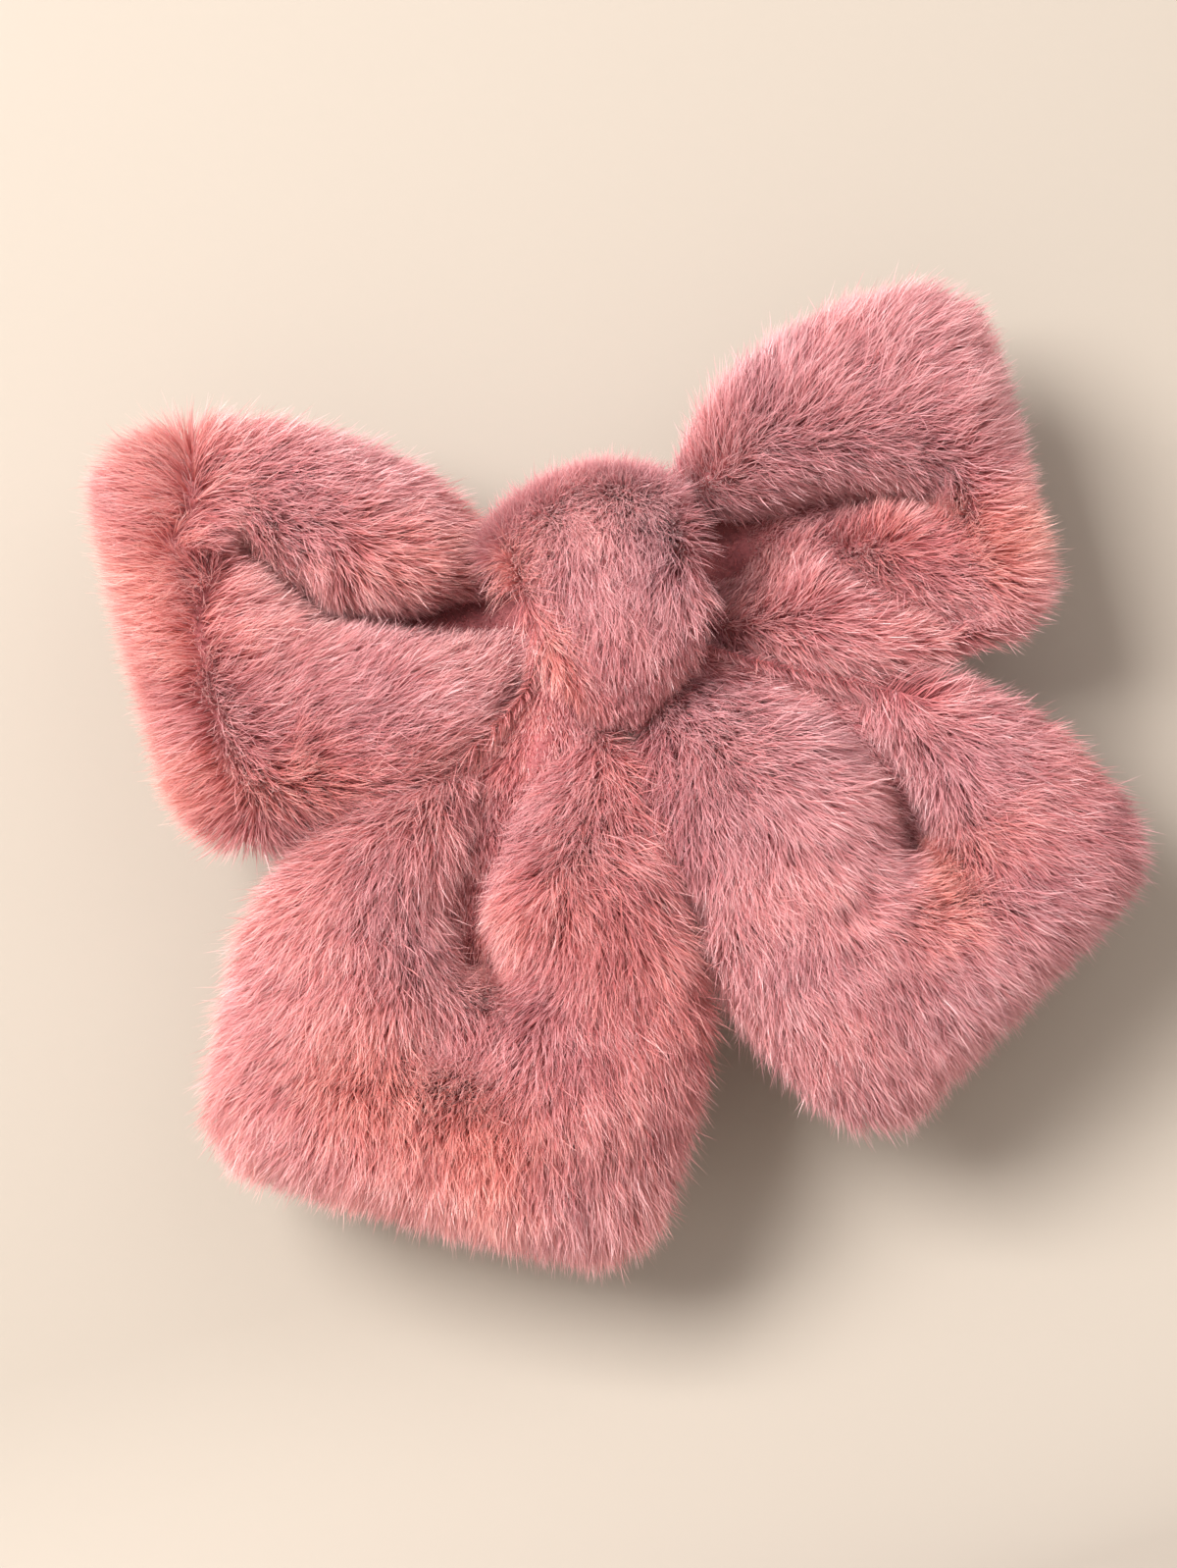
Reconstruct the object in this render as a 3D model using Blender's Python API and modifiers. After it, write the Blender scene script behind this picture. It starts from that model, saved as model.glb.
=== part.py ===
"""A plush hair bow on a hinged spring clip.

+Z is up as the bow is worn, the face looks along -Y and the hair is at +Y. The origin is the middle of
the gap in which the clip holds the hair. Sizes are in metres.
"""

import math

import bmesh
import bpy
from mathutils import Matrix, Vector

MM = 0.001
GAP = 0.3 * MM  # between pieces that touch
TIGHT = 0.2 * MM  # round a pin, a rivet or a spring's tongue
SMALL = 1e-5  # points this close are one point
PAST = 2 * MM  # how far a cutter runs past what it cuts

# Spring clip. Depths are measured from the hair gap's middle.
CLIP_LENGTH = 66 * MM
PLATE_WIDTH = 10 * MM
PLATE_WALL = 0.8 * MM
PLATE_CORNER = 1.5 * MM
HAIR_GAP = 6.0 * MM  # between the leaf's crest and the arm
ARM_WALL = 1.0 * MM
ARM_WIDTH = 7.6 * MM
ARM_ARCH = 2.4 * MM
LEAF_WALL = 0.5 * MM
LEAF_WIDTH = 5.2 * MM
LEAF_ARCH = 3.0 * MM
EAR_WALL = 0.8 * MM
EAR_LENGTH = 4.0 * MM
PIN_RADIUS = 0.8 * MM
PIN_HEAD = 0.5 * MM
KNUCKLE_WALL = 0.6 * MM
CATCH_LENGTH = 8.8 * MM
CATCH_WALL = 0.5 * MM
WING_LENGTH = 3.2 * MM
WING_WALL = 0.5 * MM
WINDOW_WIDTH = 5.4 * MM
RIVET_RADIUS = 0.6 * MM
RIVET_HEAD = 1.1 * MM
STITCH_RADIUS = 0.3 * MM
FELT_WALL = 2.0 * MM
FELT_MARGIN = 2.5 * MM  # round the plate
FELT_CORNER = 5.5 * MM

# Bow. A tail's splay is its angle from straight down; a loop's tilt is its rise from level.
COVER_WALL = 2.0 * MM  # backing cloth and the dense foot of the pile
FILL_ROOM = 1.1 * MM  # between a cover's inside and its filling
LOOP_REACH = {"left": 67.5 * MM, "right": 63.5 * MM}
LOOP_HALF_HEIGHT = {"left": 28.5 * MM, "right": 24.5 * MM}
LOOP_TILT = {"left": math.radians(9), "right": math.radians(4)}
LOOP_HALF_DEPTH = 13.5 * MM
WAIST_HALF_DEPTH = 4.5 * MM
TAIL_LENGTH = {"left": 86 * MM, "right": 79 * MM}
TAIL_SPLAY = {"left": math.radians(30.5), "right": math.radians(30.5)}
TAIL_HALF_WIDTH = {"left": 32 * MM, "right": 30.5 * MM}
TAIL_HALF_DEPTH = 13 * MM
NECK_HALF_WIDTH = 4.2 * MM
NECK_HALF_DEPTH = 3.3 * MM
BAND_WALL = 2.8 * MM  # the knot's folded strip
BAND_HALF_WIDTH = 13 * MM
BAND_PINCH = 5 * MM  # half the strip's width where it passes between the tails
THREAD_RADIUS = 0.35 * MM
THREAD_PITCH = 1.4 * MM

# Where the layers lie, from the hair forwards.
LEAF_CREST = -HAIR_GAP / 2
PLATE_BACK = LEAF_CREST - LEAF_WALL - LEAF_ARCH - GAP
PLATE_FRONT = PLATE_BACK - PLATE_WALL
FELT_BACK = PLATE_FRONT - GAP
FELT_FRONT = FELT_BACK - FELT_WALL
BAND_BACK = FELT_FRONT - GAP
WAIST_DEPTH = BAND_BACK - BAND_WALL - WAIST_HALF_DEPTH - 2 * GAP - 2 * THREAD_RADIUS
NECK_DEPTH = WAIST_DEPTH - WAIST_HALF_DEPTH - NECK_HALF_DEPTH - 4 * GAP - 4 * THREAD_RADIUS
BAND_FRONT = NECK_DEPTH - NECK_HALF_DEPTH - 2 * THREAD_RADIUS - 4 * GAP - BAND_WALL
BAND_MIDDLE = (BAND_BACK + BAND_FRONT) / 2
BAND_HALF_DEPTH = (BAND_BACK - BAND_FRONT - BAND_WALL) / 2
BAND_HALF_HEIGHT = 15.5 * MM
BAND_DROP = -1 * MM
WAIST_ROOM = 6.5 * MM  # from the strip's middle line to the gathered loops inside it
WAIST_HALF_HEIGHT = BAND_HALF_HEIGHT - WAIST_ROOM
TAIL_ROOT_RISE = 11.5 * MM  # the tails' roots above the strip's bottom fold
TAIL_ROOT_SIDE = BAND_PINCH + TIGHT
TAIL_ROOT_HEIGHT = BAND_DROP - BAND_HALF_HEIGHT + TAIL_ROOT_RISE

HINGE_X = -CLIP_LENGTH / 2 + 3 * MM
CATCH_X = CLIP_LENGTH / 2 - 6 * MM
BORE_RADIUS = PIN_RADIUS + TIGHT
KNUCKLE_RADIUS = BORE_RADIUS + KNUCKLE_WALL
ARM_REST = KNUCKLE_RADIUS - ARM_WALL / 2  # the arm's middle at both of its ends
ARM_CREST = ARM_REST + ARM_ARCH
CATCH_BACK = PLATE_BACK + GAP + CATCH_WALL
EAR_INSIDE = ARM_WIDTH / 2 + 0.4 * MM
SIDES = {"left": -1, "right": 1}


def start_scene():
    """An empty scene with one collection for the bow and one for the cutters."""
    for old in list(bpy.data.objects):
        bpy.data.objects.remove(old)
    made = []
    for name in ("plush_bow_clip", "cutters"):
        collection = bpy.data.collections.new(name)
        bpy.context.scene.collection.children.link(collection)
        made.append(collection)
    made[1].hide_render = True
    return made


BOW, CUTTERS = start_scene()


def material(name, colour, roughness, metallic=0.0):
    made = bpy.data.materials.new(name)
    made.use_nodes = True
    shader = made.node_tree.nodes["Principled BSDF"]
    shader.inputs["Base Color"].default_value = (*colour, 1)
    shader.inputs["Roughness"].default_value = roughness
    shader.inputs["Metallic"].default_value = metallic
    return made


FUR_CLOTH = material("fur_cloth", (0.62, 0.24, 0.25), 0.9)
FIBRE = material("fibre_filling", (0.86, 0.85, 0.82), 0.95)
FELT = material("felt", (0.55, 0.22, 0.23), 0.95)
THREAD = material("thread", (0.50, 0.18, 0.20), 0.8)
STEEL = material("nickel_steel", (0.70, 0.69, 0.66), 0.28, 1.0)
SPRING_STEEL = material("spring_steel", (0.52, 0.52, 0.53), 0.35, 1.0)


def place(name, mesh, look, collection=None):
    """A mesh as an object of the bow, shaded smooth except at corners."""
    made = bpy.data.objects.new(name, mesh)
    mesh.materials.clear()
    mesh.materials.append(look)
    mesh.shade_smooth()
    mesh.set_sharp_from_angle(angle=math.radians(40))
    (collection or BOW).objects.link(made)
    return made


def finish(name, shape, look, collection=None):
    """Turns a bmesh into an object, with its doubles merged and its faces outwards."""
    bmesh.ops.remove_doubles(shape, verts=shape.verts, dist=SMALL)
    bmesh.ops.recalc_face_normals(shape, faces=shape.faces)
    if shape.calc_volume(signed=True) < 0:
        bmesh.ops.reverse_faces(shape, faces=shape.faces)
    mesh = bpy.data.meshes.new(name)
    shape.to_mesh(mesh)
    shape.free()
    return place(name, mesh, look, collection)


def block(name, low, high, look=STEEL, collection=None):
    """A box between two corners."""
    low, high = Vector(low), Vector(high)
    shape = bmesh.new()
    bmesh.ops.create_cube(shape, size=1)
    bmesh.ops.scale(shape, vec=high - low, verts=shape.verts)
    bmesh.ops.translate(shape, vec=(low + high) / 2, verts=shape.verts)
    return finish(name, shape, look, collection)


def rounded_slab(name, low, high, corner, look):
    """A flat slab that faces along Y, with rounded corners."""
    shape = bmesh.new()
    outline = []
    for k, (sx, sz) in enumerate(((1, 1), (-1, 1), (-1, -1), (1, -1))):
        x = (high[0] - corner) if sx > 0 else (low[0] + corner)
        z = (high[2] - corner) if sz > 0 else (low[2] + corner)
        for j in range(7):
            angle = math.pi / 2 * (k + j / 6)
            outline.append((x + corner * math.cos(angle), low[1], z + corner * math.sin(angle)))
    face = shape.faces.new([shape.verts.new(p) for p in outline])
    grown = bmesh.ops.extrude_face_region(shape, geom=[face])["geom"]
    moved = [v for v in grown if isinstance(v, bmesh.types.BMVert)]
    bmesh.ops.translate(shape, vec=(0, high[1] - low[1], 0), verts=moved)
    return finish(name, shape, look)


def rod(name, middle, axis, radius, length, look=STEEL, collection=None, sides=24):
    """A cylinder about a line through middle."""
    shape = bmesh.new()
    turn = Vector((0, 0, 1)).rotation_difference(Vector(axis)).to_matrix().to_4x4()
    bmesh.ops.create_cone(
        shape,
        cap_ends=True,
        segments=sides,
        radius1=radius,
        radius2=radius,
        depth=length,
        matrix=Matrix.Translation(middle) @ turn,
    )
    return finish(name, shape, look, collection)


def combine(target, other, operation):
    """Cuts other from target, or joins it, with a Boolean."""
    step = target.modifiers.new(operation.lower() + "_" + other.name, "BOOLEAN")
    step.operation = operation
    step.object = other
    step.solver = "EXACT"
    other.display_type = "WIRE"
    other.hide_render = True


def cut_box(target, name, low, high):
    combine(target, block(name, low, high, collection=CUTTERS), "DIFFERENCE")


def cut_hole(target, name, middle, axis, radius, length):
    combine(target, rod(name, middle, axis, radius, length, collection=CUTTERS), "DIFFERENCE")


def outline_of(path, wall):
    """The closed outline of a strip of sheet that follows a path in a plane."""
    path = [Vector(p) for p in path]
    sides = ([], [])
    for i, p in enumerate(path):
        before = (p - path[i - 1]).normalized() if i else (path[1] - p).normalized()
        after = (path[i + 1] - p).normalized() if i < len(path) - 1 else before
        along = (before + after).normalized()
        out = Vector((-along.y, along.x)) * (wall / 2 / max(along.dot(after), 0.5))
        sides[0].append(p + out)
        sides[1].append(p - out)
    return sides[0] + sides[1][::-1]


def sheet_strip(name, path, wall, width, look, matrix=None):
    """Sheet metal bent along a path, as a flat outline that is extruded across the strip."""
    curve = bpy.data.curves.new(name, "CURVE")
    curve.dimensions = "2D"
    curve.fill_mode = "BOTH"
    curve.extrude = width / 2
    line = curve.splines.new("POLY")
    points = outline_of(path, wall)
    line.points.add(len(points) - 1)
    for point, at in zip(line.points, points, strict=True):
        point.co = (at.x, at.y, 0, 1)
    line.use_cyclic_u = True
    flat = bpy.data.objects.new(name + "_outline", curve)
    BOW.objects.link(flat)
    bpy.context.view_layer.update()
    graph = bpy.context.evaluated_depsgraph_get()
    mesh = bpy.data.meshes.new_from_object(flat.evaluated_get(graph))
    bpy.data.objects.remove(flat)
    shape = bmesh.new()
    shape.from_mesh(mesh)
    if matrix:
        bmesh.ops.transform(shape, matrix=matrix, verts=shape.verts)
    return finish(name, shape, look)


def thread_run(name, points, radius, closed=False):
    """A round thread through these points."""
    curve = bpy.data.curves.new(name, "CURVE")
    curve.dimensions = "3D"
    curve.bevel_depth = radius
    curve.bevel_resolution = 1
    curve.use_fill_caps = not closed
    line = curve.splines.new("POLY")
    line.points.add(len(points) - 1)
    for point, at in zip(line.points, points, strict=True):
        point.co = (*at, 1)
    line.use_cyclic_u = closed
    curve.materials.append(THREAD)
    made = bpy.data.objects.new(name, curve)
    BOW.objects.link(made)
    return made


def turned(name, profile, look, matrix):
    """A turned piece from radius and height pairs that run from its top to its foot."""
    shape = bmesh.new()
    points = [shape.verts.new((r, 0, h)) for r, h in profile]
    for a, b in zip(points, points[1:]):
        shape.edges.new((a, b))
    mesh = bpy.data.meshes.new(name)
    shape.to_mesh(mesh)
    shape.free()
    made = place(name, mesh, look)
    made.matrix_world = matrix
    step = made.modifiers.new("turn", "SCREW")
    step.steps = step.render_steps = 20
    step.use_merge_vertices = True
    step.merge_threshold = SMALL
    return made


def share(value, start, end):
    """How far value has gone from start to end, from 0 to 1."""
    return min(max((value - start) / (end - start), 0), 1)


def rise(part):
    """A quarter sine: quick at first, level at the end."""
    return math.sin(math.pi / 2 * part)


def ease(part):
    """Smooth at both ends."""
    return part * part * (3 - 2 * part)


def closing(distance, run):
    """A quarter ellipse that shuts a pillow over the last run of its length."""
    return math.sqrt(max(1 - (1 - share(distance, 0, run)) ** 2, 0))


def steps_along(start, end, run_start, run_end, count):
    """Places from start to end, close together where the pillow closes."""
    turns = [k / 4 for k in range(4)]
    first = [start + run_start * (1 - math.cos(math.pi / 2 * t)) for t in turns] if run_start else []
    last = [end - run_end * (1 - math.cos(math.pi / 2 * t)) for t in reversed(turns)] if run_end else [end]
    low, high = start + run_start, end - run_end
    inner = [low + (high - low) * k / count for k in range(count + (0 if not run_end else 1))]
    return first + inner + last


def section(middle, across, half_width, half_depth, power=2.2, count=20):
    """A ring of points round a rounded section. Its seams lie at both ends of across."""
    ring = []
    for k in range(count):
        c, s = math.cos(2 * math.pi * k / count), math.sin(2 * math.pi * k / count)
        wide = math.copysign(abs(c) ** (2 / power), c) * half_width
        deep = math.copysign(abs(s) ** (2 / power), s) * half_depth
        ring.append(middle + across * wide + Vector((0, deep, 0)))
    return ring


def loft(name, rings, look, caps=(True, True), cyclic=False, collection=None):
    """A skin over rings with the same number of points each, which no modifier makes."""
    shape = bmesh.new()
    made = [[shape.verts.new(p) for p in ring] for ring in rings]
    count = len(rings[0])
    pairs = list(zip(made, made[1:])) + ([(made[-1], made[0])] if cyclic else [])
    for a, b in pairs:
        for k in range(count):
            shape.faces.new((a[k], a[(k + 1) % count], b[(k + 1) % count], b[k]))
    if caps[0] and not cyclic:
        shape.faces.new(made[0])
    if caps[1] and not cyclic:
        shape.faces.new(made[-1])
    bmesh.ops.dissolve_degenerate(shape, edges=shape.edges, dist=SMALL)
    return finish(name, shape, look, collection)


def hollow(target, wall):
    step = target.modifiers.new("wall", "SOLIDIFY")
    step.thickness = wall
    step.offset = -1
    step.use_even_offset = True
    return target


def loop_section(x, inset=0.0, start=0.0, start_run=6 * MM):
    """The section of the loops at x, drawn in by inset. start shuts a filling that far from the waist."""
    side = "left" if x < 0 else "right"
    along = abs(x)
    grown = rise(share(along, 11 * MM, 50 * MM))
    height = WAIST_HALF_HEIGHT + (LOOP_HALF_HEIGHT[side] - WAIST_HALF_HEIGHT) * grown
    puffed = rise(share(along, 11 * MM, 48 * MM))
    depth = WAIST_HALF_DEPTH + (LOOP_HALF_DEPTH - WAIST_HALF_DEPTH) * puffed
    end = LOOP_REACH[side] - inset
    shut = closing(end - along, 15 * MM - inset)
    corner = 1 - 0.22 * (1 - closing(end - along, 12 * MM))
    height, depth = (height - inset) * corner, (depth - inset) * shut
    if start:
        depth *= closing(along - start, start_run)
        height *= 0.6 + 0.4 * closing(along - start, start_run)
    middle = Vector((x, WAIST_DEPTH - 4.5 * MM * ease(share(along, 11 * MM, 36 * MM)), 0))
    middle.z = along * math.tan(LOOP_TILT[side]) * ease(share(along, 0, 30 * MM))
    return section(middle, Vector((0, 0, 1)), height, depth, count=22)


def make_loops():
    """One pillow of fur cloth, pinched at its waist, with a filling in each half."""
    run = 15 * MM
    places = steps_along(-LOOP_REACH["left"], LOOP_REACH["right"], run, run, 20)
    cover = loft("loops_cover", [loop_section(x) for x in places], FUR_CLOTH, caps=(False, False))
    hollow(cover, COVER_WALL)
    # The gap through which it was turned and filled, hidden under the knot.
    slot = 3 * MM
    back = WAIST_DEPTH + WAIST_HALF_DEPTH
    cut_box(cover, "turning_gap", (-slot, back - COVER_WALL - 1 * MM, -slot), (slot, back + PAST, slot))
    inset = COVER_WALL + FILL_ROOM
    root = BAND_HALF_WIDTH + 3 * MM
    for side, sign in SIDES.items():
        places = steps_along(root, LOOP_REACH[side] - inset, 6 * MM, run - inset, 5)
        rings = [loop_section(sign * x, inset, root) for x in places]
        loft(f"{side}_loop_filling", rings, FIBRE, caps=(False, False))


def tail_line(side, part):
    """The middle line of a tail: its place, its direction and its depth at this share of its length."""
    sign, length = SIDES[side], TAIL_LENGTH[side]
    splay = TAIL_SPLAY[side]
    heading = Vector((sign * math.sin(splay), 0, -math.cos(splay)))
    at = Vector((sign * TAIL_ROOT_SIDE, 0, TAIL_ROOT_HEIGHT)) + heading * (length * part)
    at.y = NECK_DEPTH + 8 * MM * ease(share(part, 0.35, 1))
    return at, heading


def tail_section(side, along, inset=0.0, start=0.0):
    """The section of a tail this far along it, drawn in by inset."""
    length = TAIL_LENGTH[side]
    at, heading = tail_line(side, along / length)
    spread = rise(share(along, 8 * MM, 58 * MM) ** 0.8) ** 2
    width = NECK_HALF_WIDTH + (TAIL_HALF_WIDTH[side] - NECK_HALF_WIDTH) * spread
    depth = NECK_HALF_DEPTH + (TAIL_HALF_DEPTH - NECK_HALF_DEPTH) * ease(share(along, 8 * MM, 62 * MM))
    end = length - inset
    corner = 1 - 0.2 * (1 - closing(end - along, 12 * MM))
    width, depth = (width - inset) * corner, (depth - inset) * closing(end - along, 14 * MM - inset)
    if start:
        depth *= closing(along - start, 6 * MM)
        width *= 0.6 + 0.4 * closing(along - start, 6 * MM)
    across = Vector((-heading.z, 0, heading.x)) * SIDES[side]
    return section(at, across, width, depth)


def coil(name, middle, along, half_width, half_depth, turns):
    """Thread wound round a rounded section, a gap away from it."""
    across = Vector((-along.z, 0, along.x))
    radius = GAP + THREAD_RADIUS
    count, points = 14, []
    for k in range(turns * count + 1):
        angle = 2 * math.pi * k / count
        shift = (k / count - turns / 2) * THREAD_PITCH
        points.append(
            middle
            + along * shift
            + across * (math.cos(angle) * (half_width + radius) * 1.03)
            + Vector((0, math.sin(angle) * (half_depth + radius) * 1.06, 0))
        )
    return thread_run(name, points, THREAD_RADIUS)


def make_tails():
    """Two tapered pillows. Their gathered necks end inside the knot, where the covers are open."""
    inset = COVER_WALL + FILL_ROOM
    root = 20 * MM
    for side in SIDES:
        places = steps_along(0, TAIL_LENGTH[side], 0, 14 * MM, 14)
        rings = [tail_section(side, s) for s in places]
        hollow(loft(f"{side}_tail_cover", rings, FUR_CLOTH, caps=(False, False)), COVER_WALL)
        places = steps_along(root, TAIL_LENGTH[side] - inset, 6 * MM, 14 * MM - inset, 6)
        rings = [tail_section(side, s, inset, root) for s in places]
        loft(f"{side}_tail_filling", rings, FIBRE, caps=(False, False))
        at, heading = tail_line(side, 2.6 * MM / TAIL_LENGTH[side])
        coil(f"{side}_tail_thread", at, heading, NECK_HALF_WIDTH, NECK_HALF_DEPTH, 2)


def make_knot():
    """The folded strip of fur cloth round the waist, narrower where it passes between the tails."""
    rings, count = [], 28
    for k in range(count):
        angle = 2 * math.pi * k / count
        c, s = math.cos(angle), math.sin(angle)
        at = Vector((0, BAND_MIDDLE, BAND_DROP))
        at.y += math.copysign(abs(c) ** (2 / 3), c) * BAND_HALF_DEPTH
        at.z += math.copysign(abs(s) ** (2 / 3), s) * BAND_HALF_HEIGHT
        out = Vector((0, c / BAND_HALF_DEPTH, s / BAND_HALF_HEIGHT)).normalized()
        wide = BAND_PINCH + (BAND_HALF_WIDTH - BAND_PINCH) * ease(share(s, -1, 0))
        wide -= 3 * MM * ease(share(c, 0.2, 1))
        ring = []
        for j in range(12):
            a, b = math.cos(2 * math.pi * j / 12), math.sin(2 * math.pi * j / 12)
            across = math.copysign(abs(a) ** 0.7, a) * wide
            ring.append(at + Vector((across, 0, 0)) + out * (math.copysign(abs(b) ** 0.7, b) * BAND_WALL / 2))
        rings.append(ring)
    loft("knot_wrap", rings, FUR_CLOTH, cyclic=True)


def make_waist_thread():
    middle = Vector((0, WAIST_DEPTH, 0))
    coil("waist_thread", middle, Vector((1, 0, 0)), WAIST_HALF_HEIGHT, WAIST_HALF_DEPTH, 3)


def stitch_places():
    """Where a stitch goes round the plate's edge: its x, and 1 for the upper edge or -1 for the lower."""
    return [(x, edge) for x in (-17 * MM, 13.5 * MM) for edge in (1, -1)]


def make_felt():
    """The pad between bow and clip, glued to the knot and sewn to the plate."""
    half_length, half_width = CLIP_LENGTH / 2 + FELT_MARGIN, PLATE_WIDTH / 2 + FELT_MARGIN
    felt = rounded_slab(
        "felt_pad",
        (-half_length, FELT_FRONT, -half_width),
        (half_length, FELT_BACK, half_width),
        FELT_CORNER,
        FELT,
    )
    for n, (x, edge) in enumerate(stitch_places()):
        for m, z in enumerate(stitch_span()):
            middle = Vector((x, (FELT_FRONT + FELT_BACK) / 2, edge * z))
            cut_hole(felt, f"felt_hole_{n}_{m}", middle, (0, 1, 0), STITCH_RADIUS + GAP, FELT_WALL + PAST)
    return felt


def stitch_span():
    """How far from the middle line a stitch passes through the plate, and outside its edge."""
    inner = PLATE_WIDTH / 2 - 1.3 * MM
    outer = PLATE_WIDTH / 2 + GAP + 2 * STITCH_RADIUS
    return inner, outer


def make_stitches():
    inner, outer = stitch_span()
    back, front = PLATE_BACK + GAP + STITCH_RADIUS, FELT_FRONT - GAP - STITCH_RADIUS
    round_off = 2 * STITCH_RADIUS
    corners = [(back, inner), (back, outer), (front, outer), (front, inner)]
    for n, (x, edge) in enumerate(stitch_places()):
        points = []
        for k, corner in enumerate(corners):
            corner = Vector(corner)
            for other in (corners[k - 1], corners[(k + 1) % 4]):
                near = corner + (Vector(other) - corner).normalized() * round_off
                points.append(Vector((x, near.x, edge * near.y)))
        thread_run(f"clip_stitch_{n + 1}", points, STITCH_RADIUS, closed=True)


def make_plate():
    """The clip's back plate, with ears for the hinge pin, a slot for the leaf and holes for thread and rivets."""
    half = CLIP_LENGTH / 2
    plate = rounded_slab(
        "clip_plate",
        (-half, PLATE_FRONT, -PLATE_WIDTH / 2),
        (half, PLATE_BACK, PLATE_WIDTH / 2),
        PLATE_CORNER,
        STEEL,
    )
    for name, sign in (("upper", 1), ("lower", -1)):
        near, far = sorted((sign * EAR_INSIDE, sign * (EAR_INSIDE + EAR_WALL)))
        low = (HINGE_X - EAR_LENGTH / 2, PLATE_FRONT + PLATE_WALL / 2, near)
        high = (HINGE_X + EAR_LENGTH / 2, 0, far)
        combine(plate, block(f"{name}_ear_foot", low, high, collection=CUTTERS), "UNION")
        middle = (HINGE_X, 0, sign * (EAR_INSIDE + EAR_WALL / 2))
        tip = rod(f"{name}_ear_tip", middle, (0, 0, 1), EAR_LENGTH / 2, EAR_WALL, collection=CUTTERS)
        combine(plate, tip, "UNION")
    cut_hole(plate, "pin_bore", (HINGE_X, 0, 0), (0, 0, 1), BORE_RADIUS, PLATE_WIDTH + 2 * PAST)
    low, high = leaf_slot()
    cut_box(plate, "leaf_slot", low, high)
    through = PLATE_WALL + PAST
    middle_depth = (PLATE_BACK + PLATE_FRONT) / 2
    for n, (x, edge) in enumerate(stitch_places()):
        at = (x, middle_depth, edge * stitch_span()[0])
        cut_hole(plate, f"thread_hole_{n}", at, (0, 1, 0), STITCH_RADIUS + GAP, through)
    for n, x in enumerate(rivet_places()):
        cut_hole(plate, f"rivet_hole_{n}", (x, middle_depth, 0), (0, 1, 0), RIVET_RADIUS + TIGHT, through)


def leaf_foot():
    """Where the leaf's tongue stands, and where its free end lies."""
    return HINGE_X + 4.5 * MM, CATCH_X - CATCH_LENGTH / 2 - 2.6 * MM


def leaf_slot():
    x = leaf_foot()[0]
    half = LEAF_WIDTH / 2 + GAP
    room = LEAF_WALL / 2 + 0.65 * MM
    return (x - room, PLATE_FRONT - PAST, -half), (x + room, PLATE_BACK + PAST, half)


def make_leaf():
    """The tension leaf: a sprung arch whose tongue goes through the plate's slot."""
    start, end = leaf_foot()
    foot = PLATE_BACK + GAP + LEAF_WALL / 2
    path = [(start, PLATE_FRONT + 0.1 * MM), (start, foot)]
    count = 12
    for k in range(1, count + 1):
        part = k / count
        path.append((start + (end - start) * part, foot + LEAF_ARCH * (1 - (2 * part - 1) ** 2)))
    sheet_strip("tension_leaf", path, LEAF_WALL, LEAF_WIDTH, SPRING_STEEL)


def make_arm():
    """The clasp arm: an arched strip with a rolled knuckle at the hinge and a window at the catch."""
    flat = CATCH_X - CATCH_LENGTH / 2
    count, path = 14, []
    for k in range(count + 1):
        part = k / count
        bend = ARM_ARCH * (1 - (2 * part - 1) ** 2)
        path.append((HINGE_X + (flat - HINGE_X) * part, ARM_REST + bend))
    lip = flat + CATCH_LENGTH
    path += [(lip - 1.2 * MM, ARM_REST), (lip + 0.6 * MM, ARM_REST + 0.7 * MM), (lip + 1.8 * MM, ARM_REST + 1.9 * MM)]
    arm = sheet_strip("clasp_arm", path, ARM_WALL, ARM_WIDTH, STEEL)
    combine(arm, rod("knuckle", (HINGE_X, 0, 0), (0, 0, 1), KNUCKLE_RADIUS, ARM_WIDTH, collection=CUTTERS), "UNION")
    cut_hole(arm, "knuckle_bore", (HINGE_X, 0, 0), (0, 0, 1), BORE_RADIUS, ARM_WIDTH + PAST)
    half = WING_LENGTH / 2 + 1.2 * MM
    cut_box(
        arm,
        "catch_window",
        (CATCH_X - half, ARM_REST - 2 * ARM_WALL, -WINDOW_WIDTH / 2),
        (CATCH_X + half, ARM_REST + 2 * ARM_WALL, WINDOW_WIDTH / 2),
    )


def make_pin():
    """The hinge pin, with a head outside each ear."""
    end = EAR_INSIDE + EAR_WALL + GAP
    head = PIN_RADIUS + 0.5 * MM
    profile = [
        (0, end + PIN_HEAD),
        (head * 0.7, end + PIN_HEAD),
        (head, end + PIN_HEAD / 2),
        (head, end),
        (PIN_RADIUS, end),
        (PIN_RADIUS, -end),
        (head, -end),
        (head, -end - PIN_HEAD / 2),
        (head * 0.7, -end - PIN_HEAD),
        (0, -end - PIN_HEAD),
    ]
    turned("hinge_pin", profile, STEEL, Matrix.Translation((HINGE_X, 0, 0)))


def rivet_places():
    reach = WING_LENGTH / 2 + RIVET_HEAD + GAP
    return CATCH_X - reach, CATCH_X + reach


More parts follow.
